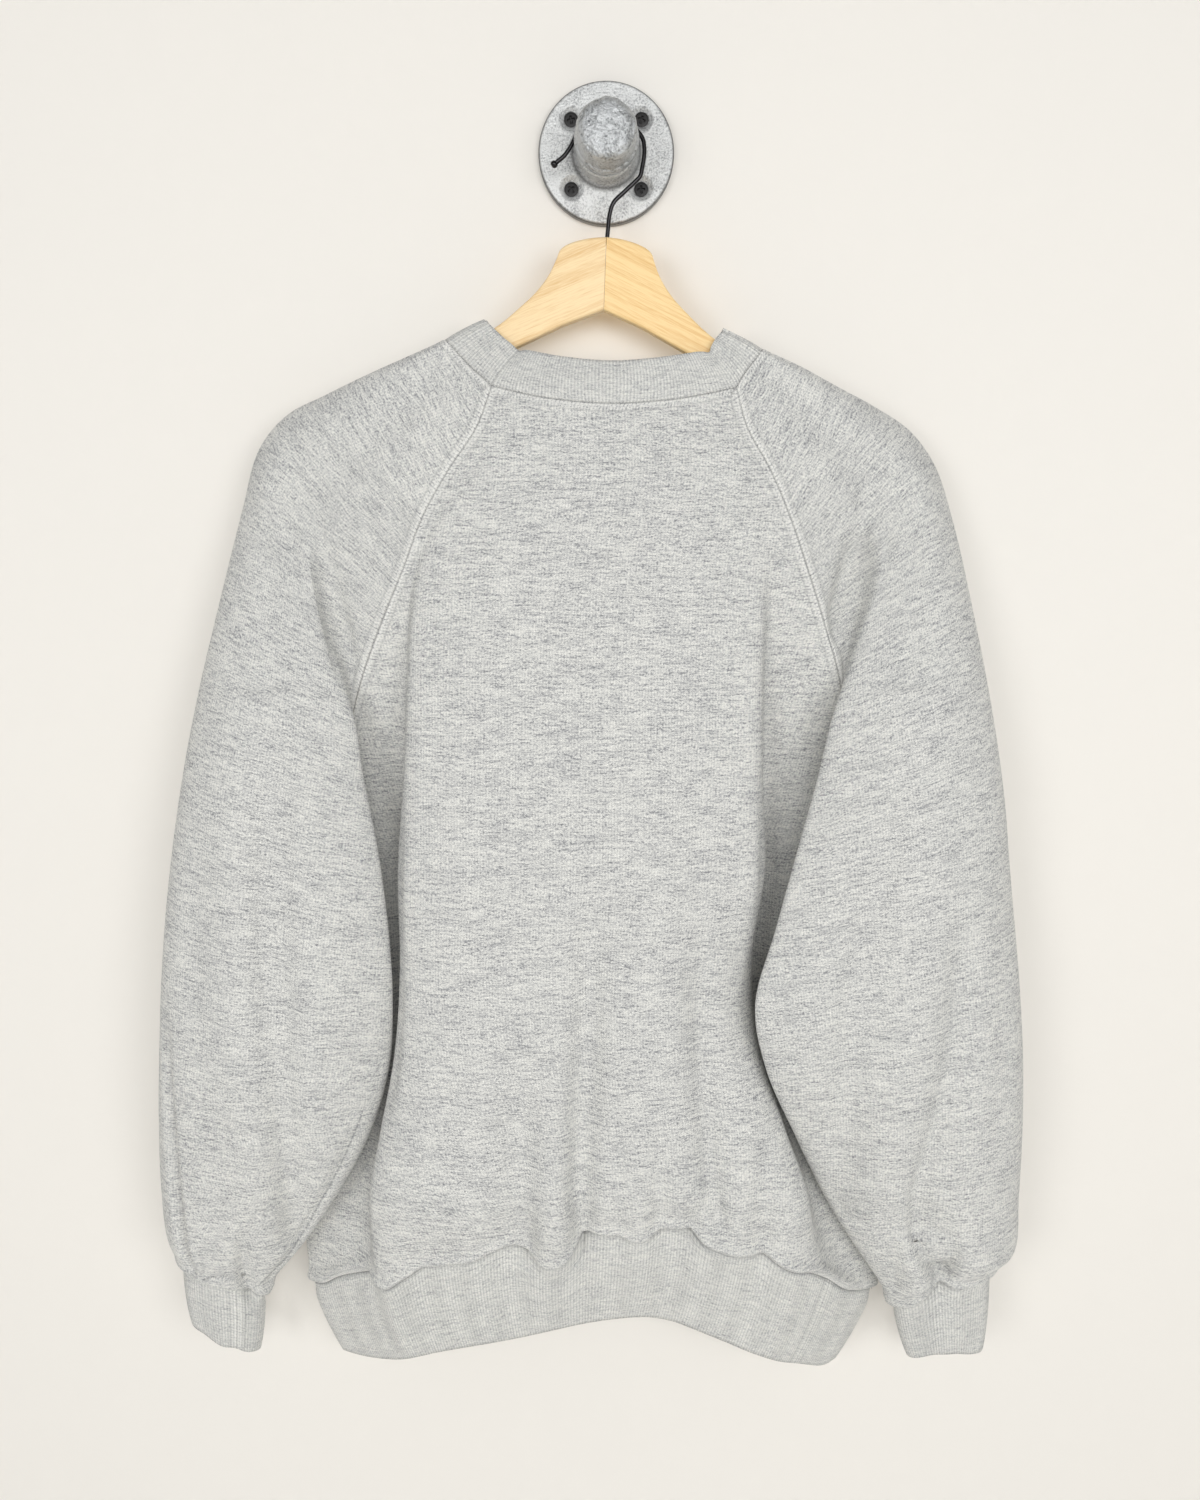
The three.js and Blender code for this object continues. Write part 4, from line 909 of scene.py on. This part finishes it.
# Materials
class Shader:
    """A material's node tree, built a node at a time."""

    def __init__(self, name):
        self.material = bpy.data.materials.new(name)
        self.material.use_nodes = True
        self.tree = self.material.node_tree
        self.surface = self.tree.nodes["Principled BSDF"]

    def node(self, kind, inputs=None, **settings):
        node = self.tree.nodes.new(kind)
        for key, value in settings.items():
            setattr(node, key, value)
        for key, value in (inputs or {}).items():
            self.feed(node.inputs[key], value)
        return node

    def feed(self, socket, value):
        if isinstance(value, bpy.types.NodeSocket):
            self.tree.links.new(value, socket)
        else:
            socket.default_value = value

    def math(self, operation, *values, clamp=False):
        node = self.node("ShaderNodeMath", operation=operation, use_clamp=clamp)
        for socket, value in zip(node.inputs, values):
            self.feed(socket, value)
        return node.outputs[0]

    def scaled(self, vector, scale):
        node = self.node("ShaderNodeVectorMath", {0: vector, 1: scale}, operation="MULTIPLY")
        return node.outputs[0]

    def noise(self, vector, scale, detail=2.0, roughness=0.5, distortion=0.0):
        return self.node("ShaderNodeTexNoise", {
            "Vector": vector, "Scale": scale, "Detail": detail, "Roughness": roughness,
            "Distortion": distortion}).outputs["Fac"]

    def ramp(self, value, stops):
        node = self.node("ShaderNodeValToRGB", {"Fac": value})
        elements = node.color_ramp.elements
        while len(elements) < len(stops):
            elements.new(0.5)
        for element, (place, color) in zip(elements, stops):
            element.position = place
            element.color = (*color, 1)
        return node.outputs["Color"]

    def mix(self, share, a, b, blend="MIX"):
        node = self.node("ShaderNodeMix", data_type="RGBA", blend_type=blend)
        self.feed(node.inputs[0], share)
        self.feed(node.inputs[6], a if isinstance(a, bpy.types.NodeSocket) else (*a, 1))
        self.feed(node.inputs[7], b if isinstance(b, bpy.types.NodeSocket) else (*b, 1))
        return node.outputs[2]

    def bump(self, height, distance, strength):
        node = self.node("ShaderNodeBump", {"Height": height, "Distance": distance, "Strength": strength})
        return node.outputs["Normal"]

    def set(self, **values):
        for key, value in values.items():
            self.feed(self.surface.inputs[key.replace("_", " ")], value)
        return self.material


def srgb(*levels):
    """Linear colour from 0 to 255 screen levels."""
    shares = [level / 255 for level in levels]
    return tuple(c / 12.92 if c <= 0.04045 else ((c + 0.055) / 1.055) ** 2.4 for c in shares)


HEATHER_DARK = srgb(143, 144, 146)
HEATHER_STREAK = srgb(186, 186, 186)
HEATHER = srgb(215, 215, 211)
HEATHER_LIGHT = srgb(235, 234, 228)
THREAD = srgb(242, 241, 236)
# Painted shade: the colour of the dark lines painted along the seams, along the pressed line and under the
# lips
PAINTED_SHADE = srgb(120, 122, 124)
# Painted shade on the galvanized metal
PAINTED_METAL_SHADE = srgb(48, 47, 46)


def sew(s, color, height, strength):
    """Draws the rows of stitches beside a seam, from the cloth's sewing coordinates in millimetres, with
    painted shade along the seam's middle, just beyond its stitches and in dashes along the pressed line.
    """
    sewing = s.node("ShaderNodeAttribute", attribute_name="sewing").outputs["Vector"]
    split = s.node("ShaderNodeSeparateXYZ", {0: sewing})
    gap, along, pressed = split.outputs["X"], split.outputs["Y"], split.outputs["Z"]

    def line(distance, middle, half):
        off = s.math("ABSOLUTE", s.math("SUBTRACT", distance, middle))
        return s.math("SUBTRACT", 1.0, s.math("DIVIDE", off, half), clamp=True)

    def dashes(pitch, bias):
        wave = s.math("SINE", s.math("MULTIPLY", along, 2 * math.pi / pitch))
        return s.math("GREATER_THAN", wave, bias)

    thread = s.math("MULTIPLY", line(gap, 1.4, 1.3), dashes(2.6, -0.6))
    ladder = s.math("MULTIPLY", line(gap, 3.6, 2.6), dashes(2.1, 0.0))
    # Painted shade along the seam's groove and just beyond its stitches.
    color = s.mix(s.math("MULTIPLY", line(gap, 0.0, 0.7), 0.3 * strength), color, PAINTED_SHADE)
    color = s.mix(s.math("MULTIPLY", line(gap, 5.4, 1.2), 0.3 * strength), color, PAINTED_SHADE)
    color = s.mix(s.math("MULTIPLY", ladder, 0.5 * strength), color, THREAD)
    color = s.mix(s.math("MULTIPLY", thread, strength, clamp=True), color, THREAD)
    # Painted shade in dashes along the pressed line.
    pressed_line_shade = s.math("MULTIPLY", line(pressed, 0.0, 1.1), dashes(7.0, -0.85))
    color = s.mix(s.math("MULTIPLY", pressed_line_shade, 0.65), color, PAINTED_SHADE)
    height = s.math("ADD", height, s.math("MULTIPLY", thread, 0.8 * strength))
    height = s.math("ADD", height, s.math("MULTIPLY", ladder, 0.5 * strength))
    return color, height


def shade_lip(s, color, reach, share):
    """Paints shade on the cloth where a lip turns under, and a shadow where the band below it starts."""
    lip = s.node("ShaderNodeAttribute", attribute_name="lip").outputs["Vector"]
    distance = s.node("ShaderNodeSeparateXYZ", {0: lip}).outputs["X"]
    near = s.math("SUBTRACT", 1.0, s.math("DIVIDE", distance, reach), clamp=True)
    return s.mix(s.math("MULTIPLY", s.math("MULTIPLY", near, near), share), color, PAINTED_SHADE)


def knit_material(name, rib_pitch=None):
    """Heather knit, from the cloth's own course and wale coordinates in millimetres."""
    s = Shader(name)
    knit = s.node("ShaderNodeAttribute", attribute_name="knit").outputs["Vector"]
    waver = s.noise(s.scaled(knit, (0.03, 0.06, 1)), 1.0, 2.0)
    shift = s.math("MULTIPLY", s.math("SUBTRACT", waver, 0.5), 5.0)
    lift = s.node("ShaderNodeCombineXYZ", {"Y": shift}).outputs[0]
    warped = s.node("ShaderNodeVectorMath", {0: knit, 1: lift}, operation="ADD").outputs[0]
    streaks = s.noise(s.scaled(warped, (1 / 15, 1 / 2.2, 1)), 1.0, 1.0, 0.5)
    patches = s.noise(s.scaled(warped, (1 / 40, 1 / 12, 1)), 1.0, 2.0)
    grains = s.noise(s.scaled(warped, (1 / 1.5, 1 / 1.1, 1)), 1.0, 2.0, 0.7)
    fibres = s.noise(s.scaled(warped, (1 / 4.0, 1 / 1.0, 1)), 1.0, 2.0, 0.7)
    tone = s.math("MULTIPLY", streaks, 0.18)
    for part, weight in ((patches, 0.08), (grains, 0.42), (fibres, 0.32)):
        tone = s.math("MULTIPLY_ADD", part, weight, tone)
    if rib_pitch:
        tone = s.math("MULTIPLY_ADD", tone, 0.7, 0.165)
    color = s.ramp(tone, [
        (0.4, HEATHER_DARK), (0.455, HEATHER_STREAK), (0.51, HEATHER), (0.575, HEATHER_LIGHT),
    ])
    split = s.node("ShaderNodeSeparateXYZ", {0: warped})
    wales = s.math("SINE", s.math("MULTIPLY", split.outputs["X"], 2 * math.pi / 1.9))
    courses = s.math("SINE", s.math("MULTIPLY", split.outputs["Y"], 2 * math.pi / 1.3))
    wale_shade = s.math("MULTIPLY_ADD", wales, 0.5, 0.5)
    loops = s.math("MULTIPLY", wales, courses)
    height = s.math("ADD", s.math("MULTIPLY", loops, 0.5), s.math("MULTIPLY", fibres, 0.9))
    height = s.math("ADD", height, s.math("MULTIPLY", grains, 0.9))
    if rib_pitch:
        rib = s.math("SINE", s.math("MULTIPLY", split.outputs["X"], 2 * math.pi / rib_pitch))
        shade = s.math("MULTIPLY_ADD", rib, 0.5, 0.5)
        color = s.mix(s.math("MULTIPLY", shade, 0.3), color, HEATHER_DARK, "MULTIPLY")
        height = s.math("ADD", height, s.math("MULTIPLY", rib, -0.5))
        color = shade_lip(s, color, 5.0, 0.5)
    else:
        # Painted shade in the hollows between the wales.
        color = s.mix(s.math("MULTIPLY", wale_shade, 0.22), color, HEATHER_STREAK, "MULTIPLY")
        color = shade_lip(s, color, 1.6, 0.9)
    color, height = sew(s, color, height, 0.7 if rib_pitch else 0.9)
    normal = s.bump(height, 0.0003, 0.8)
    s.set(Base_Color=color, Roughness=0.95, Normal=normal)
    s.surface.inputs["Sheen Weight"].default_value = 0.08
    s.surface.inputs["Sheen Roughness"].default_value = 0.5
    s.surface.inputs["Specular IOR Level"].default_value = 0.2
    return s.material


def dress_cloth():
    fleece = knit_material("heather_fleece")
    rib = knit_material("heather_rib", rib_pitch=2.2)
    for name, obj in CLOTHS.items():
        is_panel = name in PANELS
        obj.data.materials.append(fleece if is_panel else rib)
        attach(obj, "root")
        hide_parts(name)


dress_cloth()


# The flat wooden hanger, half by half, before it tilts. centreD is its middle layer's distance out.
HANGER = np.array([
    (0.15, -58, -103, 26), (10, -59, -107, 26), (20, -61.5, -111, 26), (26.5, -64.4, -113.7, 26),
    (29.6, -67.3, -115.2, 26), (31.6, -72.4, -116.3, 26), (36, -82, -118.5, 26), (43, -92, -122, 26),
    (53, -102, -127, 26), (73, -118.3, -137.5, 26), (105, -132, -155, 24.6), (145, -149, -172, 23),
    (175, -162.8, -186, 21), (195, -173, -195, 19.3), (208, -183, -201, 18.5), (212, -189, -202, 18.2),
])
HANGER_THICK = 10
HANGER_ROUND = 2.2
HANGER_TILT = math.radians(2.1)
HOOK_D = 26
WIRE_RADIUS = 1.4
HOOK_PATH = [
    (0.2, -62), (0.6, -57), (1.3, -50), (1.9, -44.5), (4.4, -36.6), (11, -30.2), (17.7, -24.2), (21.6, -20.2),
    (22.9, -15), (24.1, -8), (24.2, -3), (23.2, 2), (19.5, 7), (12, 13), (0, 15.3), (-11, 12.5), (-18.5, 5.5),
    (-22.5, -2), (-27, -8), (-32, -12),
]
WIRE_BALL = ((0.6, 2.1), (1.8, 2.4), (3, 2.1), (3.6, 1.3), (3.8, 0))
# The wall fitting's profiles, each a radius and a distance out from the wall.
FLANGE = [
    (0, 0), (44.45, 0), (44.45, 4.6), (43.9, 5.5), (43.2, 6), (24, 7), (22, 7.6), (20.5, 8.5), (19.8, 9.6),
    (19.5, 11), (19.5, 19), (18.7, 20), (13.7, 20), (13.7, 5), (0, 5),
]
NIPPLE = [(10.45, 5.3), (13.3, 5.3), (13.3, 42), (10.45, 42), (10.45, 5.3)]
CAP = [
    (0, 43), (13.7, 43), (13.7, 28.5), (20, 28.5), (20.5, 28.9), (20.6, 29.6), (20.6, 33.6), (20.2, 34.6),
    (19.2, 35.4), (19.1, 42), (19, 48), (18.6, 50.4), (17.6, 52.6), (15, 54.5), (11.5, 55.6), (7, 56.2),
    (0, 56.5),
]
SCREW = [(0, 0.3), (2.3, 0.3), (2.3, 1.9), (4.6, 3.9), (4.6, 4.3), (3.4, 4.5), (0, 4.6)]
SCREWS = {
    "screw_top_left": (-23, 21, 12), "screw_top_right": (23, 21, -20), "screw_bottom_left": (-23, -22, 40),
    "screw_bottom_right": (23, -22, 5),
}


# The hardware's pieces
def ring_object(name, rings, sharp=40.0):
    """A closed piece through rings of points. A ring shrunk to a point closes an end."""
    rows, columns = rings.shape[:2]
    index = np.arange(rows * columns).reshape(rows, columns)
    index = np.concatenate([index, index[:, :1]], 1)
    faces = np.stack([index[:-1, :-1], index[1:, :-1], index[1:, 1:], index[:-1, 1:]], -1).reshape(-1, 4)
    obj = mesh_object(name, rings.reshape(-1, 3) * MM, faces)
    shape = bmesh.new()
    shape.from_mesh(obj.data)
    bmesh.ops.remove_doubles(shape, verts=shape.verts, dist=1e-6)
    bmesh.ops.recalc_face_normals(shape, faces=shape.faces)
    shape.to_mesh(obj.data)
    shape.free()
    obj.data.set_sharp_from_angle(angle=math.radians(sharp))
    return obj


def closed_ends(rings):
    ends = [np.broadcast_to(ring.mean(0), ring.shape) for ring in (rings[0], rings[-1])]
    return np.concatenate([ends[0][None], rings, ends[1][None]])


def stepped(profile, step):
    """The profile with more points on its long lines."""
    points = [np.array(profile[0], float)]
    for corner in profile[1:]:
        start = points[-1]
        corner = np.array(corner, float)
        count = max(1, math.ceil(np.linalg.norm(corner - start) / step))
        points.extend(start + (corner - start) * k / count for k in range(1, count + 1))
    return np.array(points)


def turned(profile, segments, x=0.0, z=0.0):
    """Rings round a level axis out from the wall, from a profile of radii and distances out."""
    r, d = profile.T[..., None]
    angle = np.arange(segments) / segments * 2 * math.pi
    return point(x + r * np.cos(angle), d + 0 * angle, z + r * np.sin(angle))


def lumps(points, pitch, seed):
    """Soft lumps about pitch mm apart, from -1 to 1, at each point."""
    flat = points.reshape(-1, 3) / pitch + seed
    return np.array([noise.noise(Vector(p)) for p in flat]).reshape(points.shape[:-1])


def make_flange():
    rings = turned(stepped(FLANGE, 0.75), 288)
    x, d, z = rings[..., 0], -rings[..., 1], rings[..., 2]
    radius = np.hypot(x, z)
    face = (d > 5.3) & (radius > 20) & (radius < 43.8)
    cast = 0.16 * lumps(rings, 1.7, 3.0) + 0.12 * lumps(rings, 6.0, 9.0)
    depth = d + np.where(face, cast, 0)
    for screw_x, screw_z, _ in SCREWS.values():
        off = np.hypot(x - screw_x, z - screw_z)
        sunk = 2 + np.maximum(off - 2.8, 0) * 4.4 / 5.2
        depth = np.where(face & (off < 8.6), np.minimum(depth, sunk), depth)
    rings[..., 1] = -depth
    return ring_object("flange_casting", rings, 50)


def make_nipple():
    rings = turned(stepped(NIPPLE, 0.3), 72)
    d = -rings[..., 1]
    outside = np.hypot(rings[..., 0], rings[..., 2]) > 13
    threads = 0.35 * np.sin(d * 2 * math.pi / 1.8) * ((d > 19) & (d < 29) & outside)
    outward = rings * (1, 0, 1)
    return ring_object("threaded_nipple", rings + unit(outward) * threads[..., None], 60)


def make_cap():
    rings = turned(stepped(CAP, 0.9), 144)
    d = -rings[..., 1]
    shown = smooth((d - 34) / 3) * (np.hypot(rings[..., 0], rings[..., 2]) > 14.2) + (d > 50)
    large = 0.8 * lumps(rings * (1.0, 0.45, 0.5), 5.0, 2.0)
    small = 0.35 * lumps(rings, 2.4, 7.0)
    dents = np.minimum(shown, 1) * (large + small)
    ridge = (d > 28) & (d < 35.5)
    dents += np.where(ridge, 0.12 * lumps(rings, 2.2, 5.0), 0)
    centre = np.array([0.0, -38.0, 0.0])
    return ring_object("cap_casting", rings + unit(rings - centre) * dents[..., None], 50)


def make_screw(name, x, z, turn):
    rings = turned(stepped(SCREW, 0.22), 72, x, z)
    d = -rings[..., 1]
    angle = math.radians(turn)
    u = np.abs((rings[..., 0] - x) * math.cos(angle) + (rings[..., 2] - z) * math.sin(angle))
    v = np.abs((rings[..., 2] - z) * math.cos(angle) - (rings[..., 0] - x) * math.sin(angle))
    arm = smooth((0.75 - np.minimum(u, v)) / 0.25) * smooth((2.6 - np.maximum(u, v)) / 0.6)
    rings[..., 1] += np.where(d > 4.2, 1.3 * arm, 0)
    return ring_object(f"{name}_head", rings, 45)


def make_hook():
    path = np.array(HOOK_PATH, float)
    line = spline(point(path[:, 0], HOOK_D, path[:, 1]), np.linspace(0, 1, 200))
    along = unit(np.gradient(line, axis=0))
    radii = np.full(len(line), float(WIRE_RADIUS))
    end = line[-1] + along[-1] * np.array([a for a, _ in WIRE_BALL])[:, None]
    line = np.concatenate([line, end])
    along = np.concatenate([along, np.repeat(along[-1:], len(end), 0)])
    radii = np.concatenate([radii, [r for _, r in WIRE_BALL]])
    out = np.array([0.0, -1.0, 0.0])
    side = np.cross(along, out)
    angle = np.arange(20) / 20 * 2 * math.pi
    round_wire = side[:, None] * np.cos(angle)[:, None] + out * np.sin(angle)[:, None]
    return ring_object("hook_wire", closed_ends(line[:, None] + round_wire * radii[:, None, None]))


def make_hanger_half(side):
    rows = spline(HANGER, np.linspace(0, 1, 150))
    corner = np.linspace(0, math.pi / 2, 7)
    half = HANGER_THICK / 2
    rings = []
    for x, top, bottom, centre in rows:
        flat_d, flat_z = half - HANGER_ROUND, (top - bottom) / 2 - HANGER_ROUND
        middle = (top + bottom) / 2
        section = []
        for quarter, (sign_d, sign_z) in enumerate(((1, 1), (-1, 1), (-1, -1), (1, -1))):
            angle = corner + quarter * math.pi / 2
            section.append(point(side * x, centre + sign_d * flat_d + HANGER_ROUND * np.cos(angle),
                                 middle + sign_z * flat_z + HANGER_ROUND * np.sin(angle)))
        rings.append(np.concatenate(section))
    rings = closed_ends(np.array(rings))
    # The hanger hangs a little lower on the right, turned about the foot of its hook.
    x, z = rings[..., 0].copy(), rings[..., 2] - HANGER[0, 1]
    rings[..., 0] = x * math.cos(HANGER_TILT) + z * math.sin(HANGER_TILT)
    rings[..., 2] = HANGER[0, 1] - x * math.sin(HANGER_TILT) + z * math.cos(HANGER_TILT)
    return ring_object(f"hanger_{'left' if side < 0 else 'right'}_wood", rings, 60)


def wood_material(name, pale, grain, climb):
    """Straight-grained pale wood. climb is how steeply its grain rises across the face."""
    s = Shader(name)
    place = s.node("ShaderNodeTexCoord").outputs["Object"]
    turned_place = s.node("ShaderNodeMapping", {"Vector": place, "Rotation": (0, climb, 0)}).outputs[0]
    rings = s.noise(s.scaled(turned_place, (4, 30, 170)), 1.0, 3.0, 0.55, 0.4)
    fine = s.noise(s.scaled(turned_place, (14, 60, 900)), 1.0, 2.0, 0.6)
    pores = s.noise(s.scaled(turned_place, (90, 900, 1500)), 1.0, 2.0, 0.6)
    share = s.math("MULTIPLY", rings, 0.35)
    for part, weight in ((fine, 0.3), (pores, 0.35)):
        share = s.math("MULTIPLY_ADD", part, weight, share)
    color = s.ramp(share, [(0.36, grain), (0.54, pale)])
    roughness = s.math("MULTIPLY_ADD", pores, 0.15, 0.42)
    s.set(Base_Color=color, Roughness=roughness, Normal=s.bump(share, 0.0002, 0.35))
    return s.material


def galvanized_material(name, dark, light, grain, depth, metallic, painted_shade_rings=()):
    """Hot-dipped iron: light grey with an orange-peel grain, about grain to the metre. Its last argument
    gives rings of painted shade, each a radius about the fitting's middle, a half width and a strength."""
    s = Shader(name)
    place = s.node("ShaderNodeTexCoord").outputs["Object"]
    cloudy = s.noise(place, 60, 3.0, 0.6)
    grains = s.noise(place, grain, 3.0, 0.65)
    share = s.math("ADD", s.math("MULTIPLY", cloudy, 0.35), s.math("MULTIPLY", grains, 0.65))
    color = s.ramp(share, [(0.36, dark), (0.52, light)])
    flat = s.scaled(place, (1, 0, 1))
    radius = s.node("ShaderNodeVectorMath", {0: flat}, operation="LENGTH").outputs["Value"]
    # Painted shade: each ring darkens the metal where shade falls, at the rim's edge and round the hub's
    # foot.
    for middle, half, strength in painted_shade_rings:
        off = s.math("ABSOLUTE", s.math("SUBTRACT", radius, middle))
        ring = s.math("SUBTRACT", 1.0, s.math("DIVIDE", off, half), clamp=True)
        color = s.mix(s.math("MULTIPLY", ring, strength), color, PAINTED_METAL_SHADE)
    roughness = s.math("MULTIPLY_ADD", grains, 0.3, 0.25)
    s.set(Base_Color=color, Roughness=roughness, Normal=s.bump(grains, depth, 1.0))
    s.surface.inputs["Metallic"].default_value = metallic
    return s.material


def plain_metal(name, color, metallic, roughness, grain):
    s = Shader(name)
    place = s.node("ShaderNodeTexCoord").outputs["Object"]
    marks = s.noise(place, grain, 3.0, 0.6)
    s.set(Base_Color=s.mix(s.math("MULTIPLY", marks, 0.35), color, (0, 0, 0)),
          Roughness=s.math("MULTIPLY_ADD", marks, 0.2, roughness), Normal=s.bump(marks, 0.0001, 0.4))
    s.surface.inputs["Metallic"].default_value = metallic
    return s.material


def make_hardware():
    ash_left = wood_material("ash_left", srgb(246, 219, 172), srgb(228, 190, 134), math.radians(22))
    ash_right = wood_material("ash_right", srgb(246, 214, 156), srgb(226, 182, 116), math.radians(-26))
    # Painted shade: a thin dark line round the flange's rim, and a painted shadow round the foot of its hub.
    rings = ((0.0442, 0.0013, 0.85), (0.0222, 0.0028, 0.8))
    casting = galvanized_material(
        "galvanized_flange", srgb(150, 151, 152), srgb(222, 223, 222), 800, 0.0007, 0.45, rings)
    cap = galvanized_material("galvanized_cap", srgb(120, 122, 123), srgb(198, 200, 201), 620, 0.0009, 0.85)
    wire = plain_metal("dark_wire", srgb(58, 57, 58), 1.0, 0.14, 300)
    black = plain_metal("blackened", srgb(44, 43, 43), 0.5, 0.35, 900)
    pieces = [
        (make_hanger_half(-1), "hanger_left", "hanger_wood", ash_left),
        (make_hanger_half(1), "hanger_right", "hanger_wood", ash_right),
        (make_hook(), "hanger_hook", "hook_steel", wire),
        (make_flange(), "wall_flange", "galvanized_iron", casting),
        (make_nipple(), "pipe_nipple", "galvanized_iron", casting),
        (make_cap(), "pipe_cap", "galvanized_iron", cap),
    ]
    for name, (x, z, turn) in SCREWS.items():
        pieces.append((make_screw(name, x, z, turn), name, "screw_black", black))
    for obj, node, slot, material in pieces:
        obj.data.materials.append(material)
        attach(obj, "root")
        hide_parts(node)


make_hardware()


# The stage, which stands in for the wall and the floor
def stage_material(name, color, one_sided):
    s = Shader(name)
    place = s.node("ShaderNodeTexCoord").outputs["Object"]
    mottle = s.noise(place, 3.0, 3.0)
    base = s.mix(s.math("MULTIPLY", mottle, 0.06), color, (0.6, 0.62, 0.64))
    s.set(Base_Color=base, Roughness=0.9, Normal=s.bump(s.noise(place, 160, 2.0), 0.001, 0.12))
    if one_sided:
        behind = s.node("ShaderNodeNewGeometry").outputs["Backfacing"]
        clear = s.node("ShaderNodeBsdfTransparent").outputs[0]
        both = s.node("ShaderNodeMixShader", {0: behind, 1: s.surface.outputs[0], 2: clear})
        s.tree.links.new(both.outputs[0], s.tree.nodes["Material Output"].inputs["Surface"])
    return s.material


def plane(name, corners, material):
    obj = mesh_object(name, np.array(corners, float), np.array([[0, 1, 2, 3]]))
    obj.data.materials.append(material)
    return obj


WALL_Y = 0.0006
FLOOR_Z = -1.35
WALL_TOP = 3
HALF_ROOM = 4.0
backdrop = plane("backdrop", [
    (-HALF_ROOM, WALL_Y, FLOOR_Z), (HALF_ROOM, WALL_Y, FLOOR_Z), (HALF_ROOM, WALL_Y, WALL_TOP),
    (-HALF_ROOM, WALL_Y, WALL_TOP),
], stage_material("pale_wall", srgb(237, 233, 226), True))
# The light behind reaches the wall side of the garment, for the views from there.
backdrop.visible_shadow = False
plane("floor", [
    (-HALF_ROOM, -HALF_ROOM, FLOOR_Z), (HALF_ROOM, -HALF_ROOM, FLOOR_Z), (HALF_ROOM, HALF_ROOM, FLOOR_Z),
    (-HALF_ROOM, HALF_ROOM, FLOOR_Z),
], stage_material("pale_floor", srgb(236, 235, 232), False))


# Lights, room light and camera
def area_light(name, location, target, size, watts):
    data = bpy.data.lights.new(name, "AREA")
    data.shape = "DISK"
    data.size = size
    data.energy = watts
    obj = bpy.data.objects.new(name, data)
    obj.location = location
    obj.rotation_euler = (Vector(target) - Vector(location)).to_track_quat("-Z", "Y").to_euler()
    bpy.context.scene.collection.objects.link(obj)


area_light("light_left", (-1.2, -2.0, -0.1), (0, 0, -0.5), size=1.1, watts=13.5)
area_light("light_front", (0.15, -2.1, 0.1), (0, 0, -0.45), size=0.9, watts=12)
area_light("light_right", (1.1, -2.0, -0.1), (0, 0, -0.5), size=1.1, watts=13)
area_light("light_behind", (0.6, 2.2, 0.8), (0, 0, -0.4), size=1.2, watts=26)

ROOM_COLOR = (0.98, 0.99, 1.0, 1)
ROOM_STRENGTH = 0.32
world = bpy.data.worlds.new("soft_room")
world.use_nodes = True
world.node_tree.nodes["Background"].inputs["Color"].default_value = ROOM_COLOR
world.node_tree.nodes["Background"].inputs["Strength"].default_value = ROOM_STRENGTH
bpy.context.scene.world = world
bpy.context.scene.view_settings.view_transform = "Standard"

CAMERA_LENS = 28.87
SENSOR_WIDTH = 36.0
CAMERA_PLACE = (-0.0041, -0.844, -0.2626)
CAMERA_PITCH = 81.0
camera_data = bpy.data.cameras.new("camera")
camera_data.lens = CAMERA_LENS
camera_data.sensor_width = SENSOR_WIDTH
camera = bpy.data.objects.new("camera", camera_data)
camera.location = CAMERA_PLACE
camera.rotation_euler = (math.radians(CAMERA_PITCH), 0, 0)
bpy.context.scene.collection.objects.link(camera)
bpy.context.scene.camera = camera
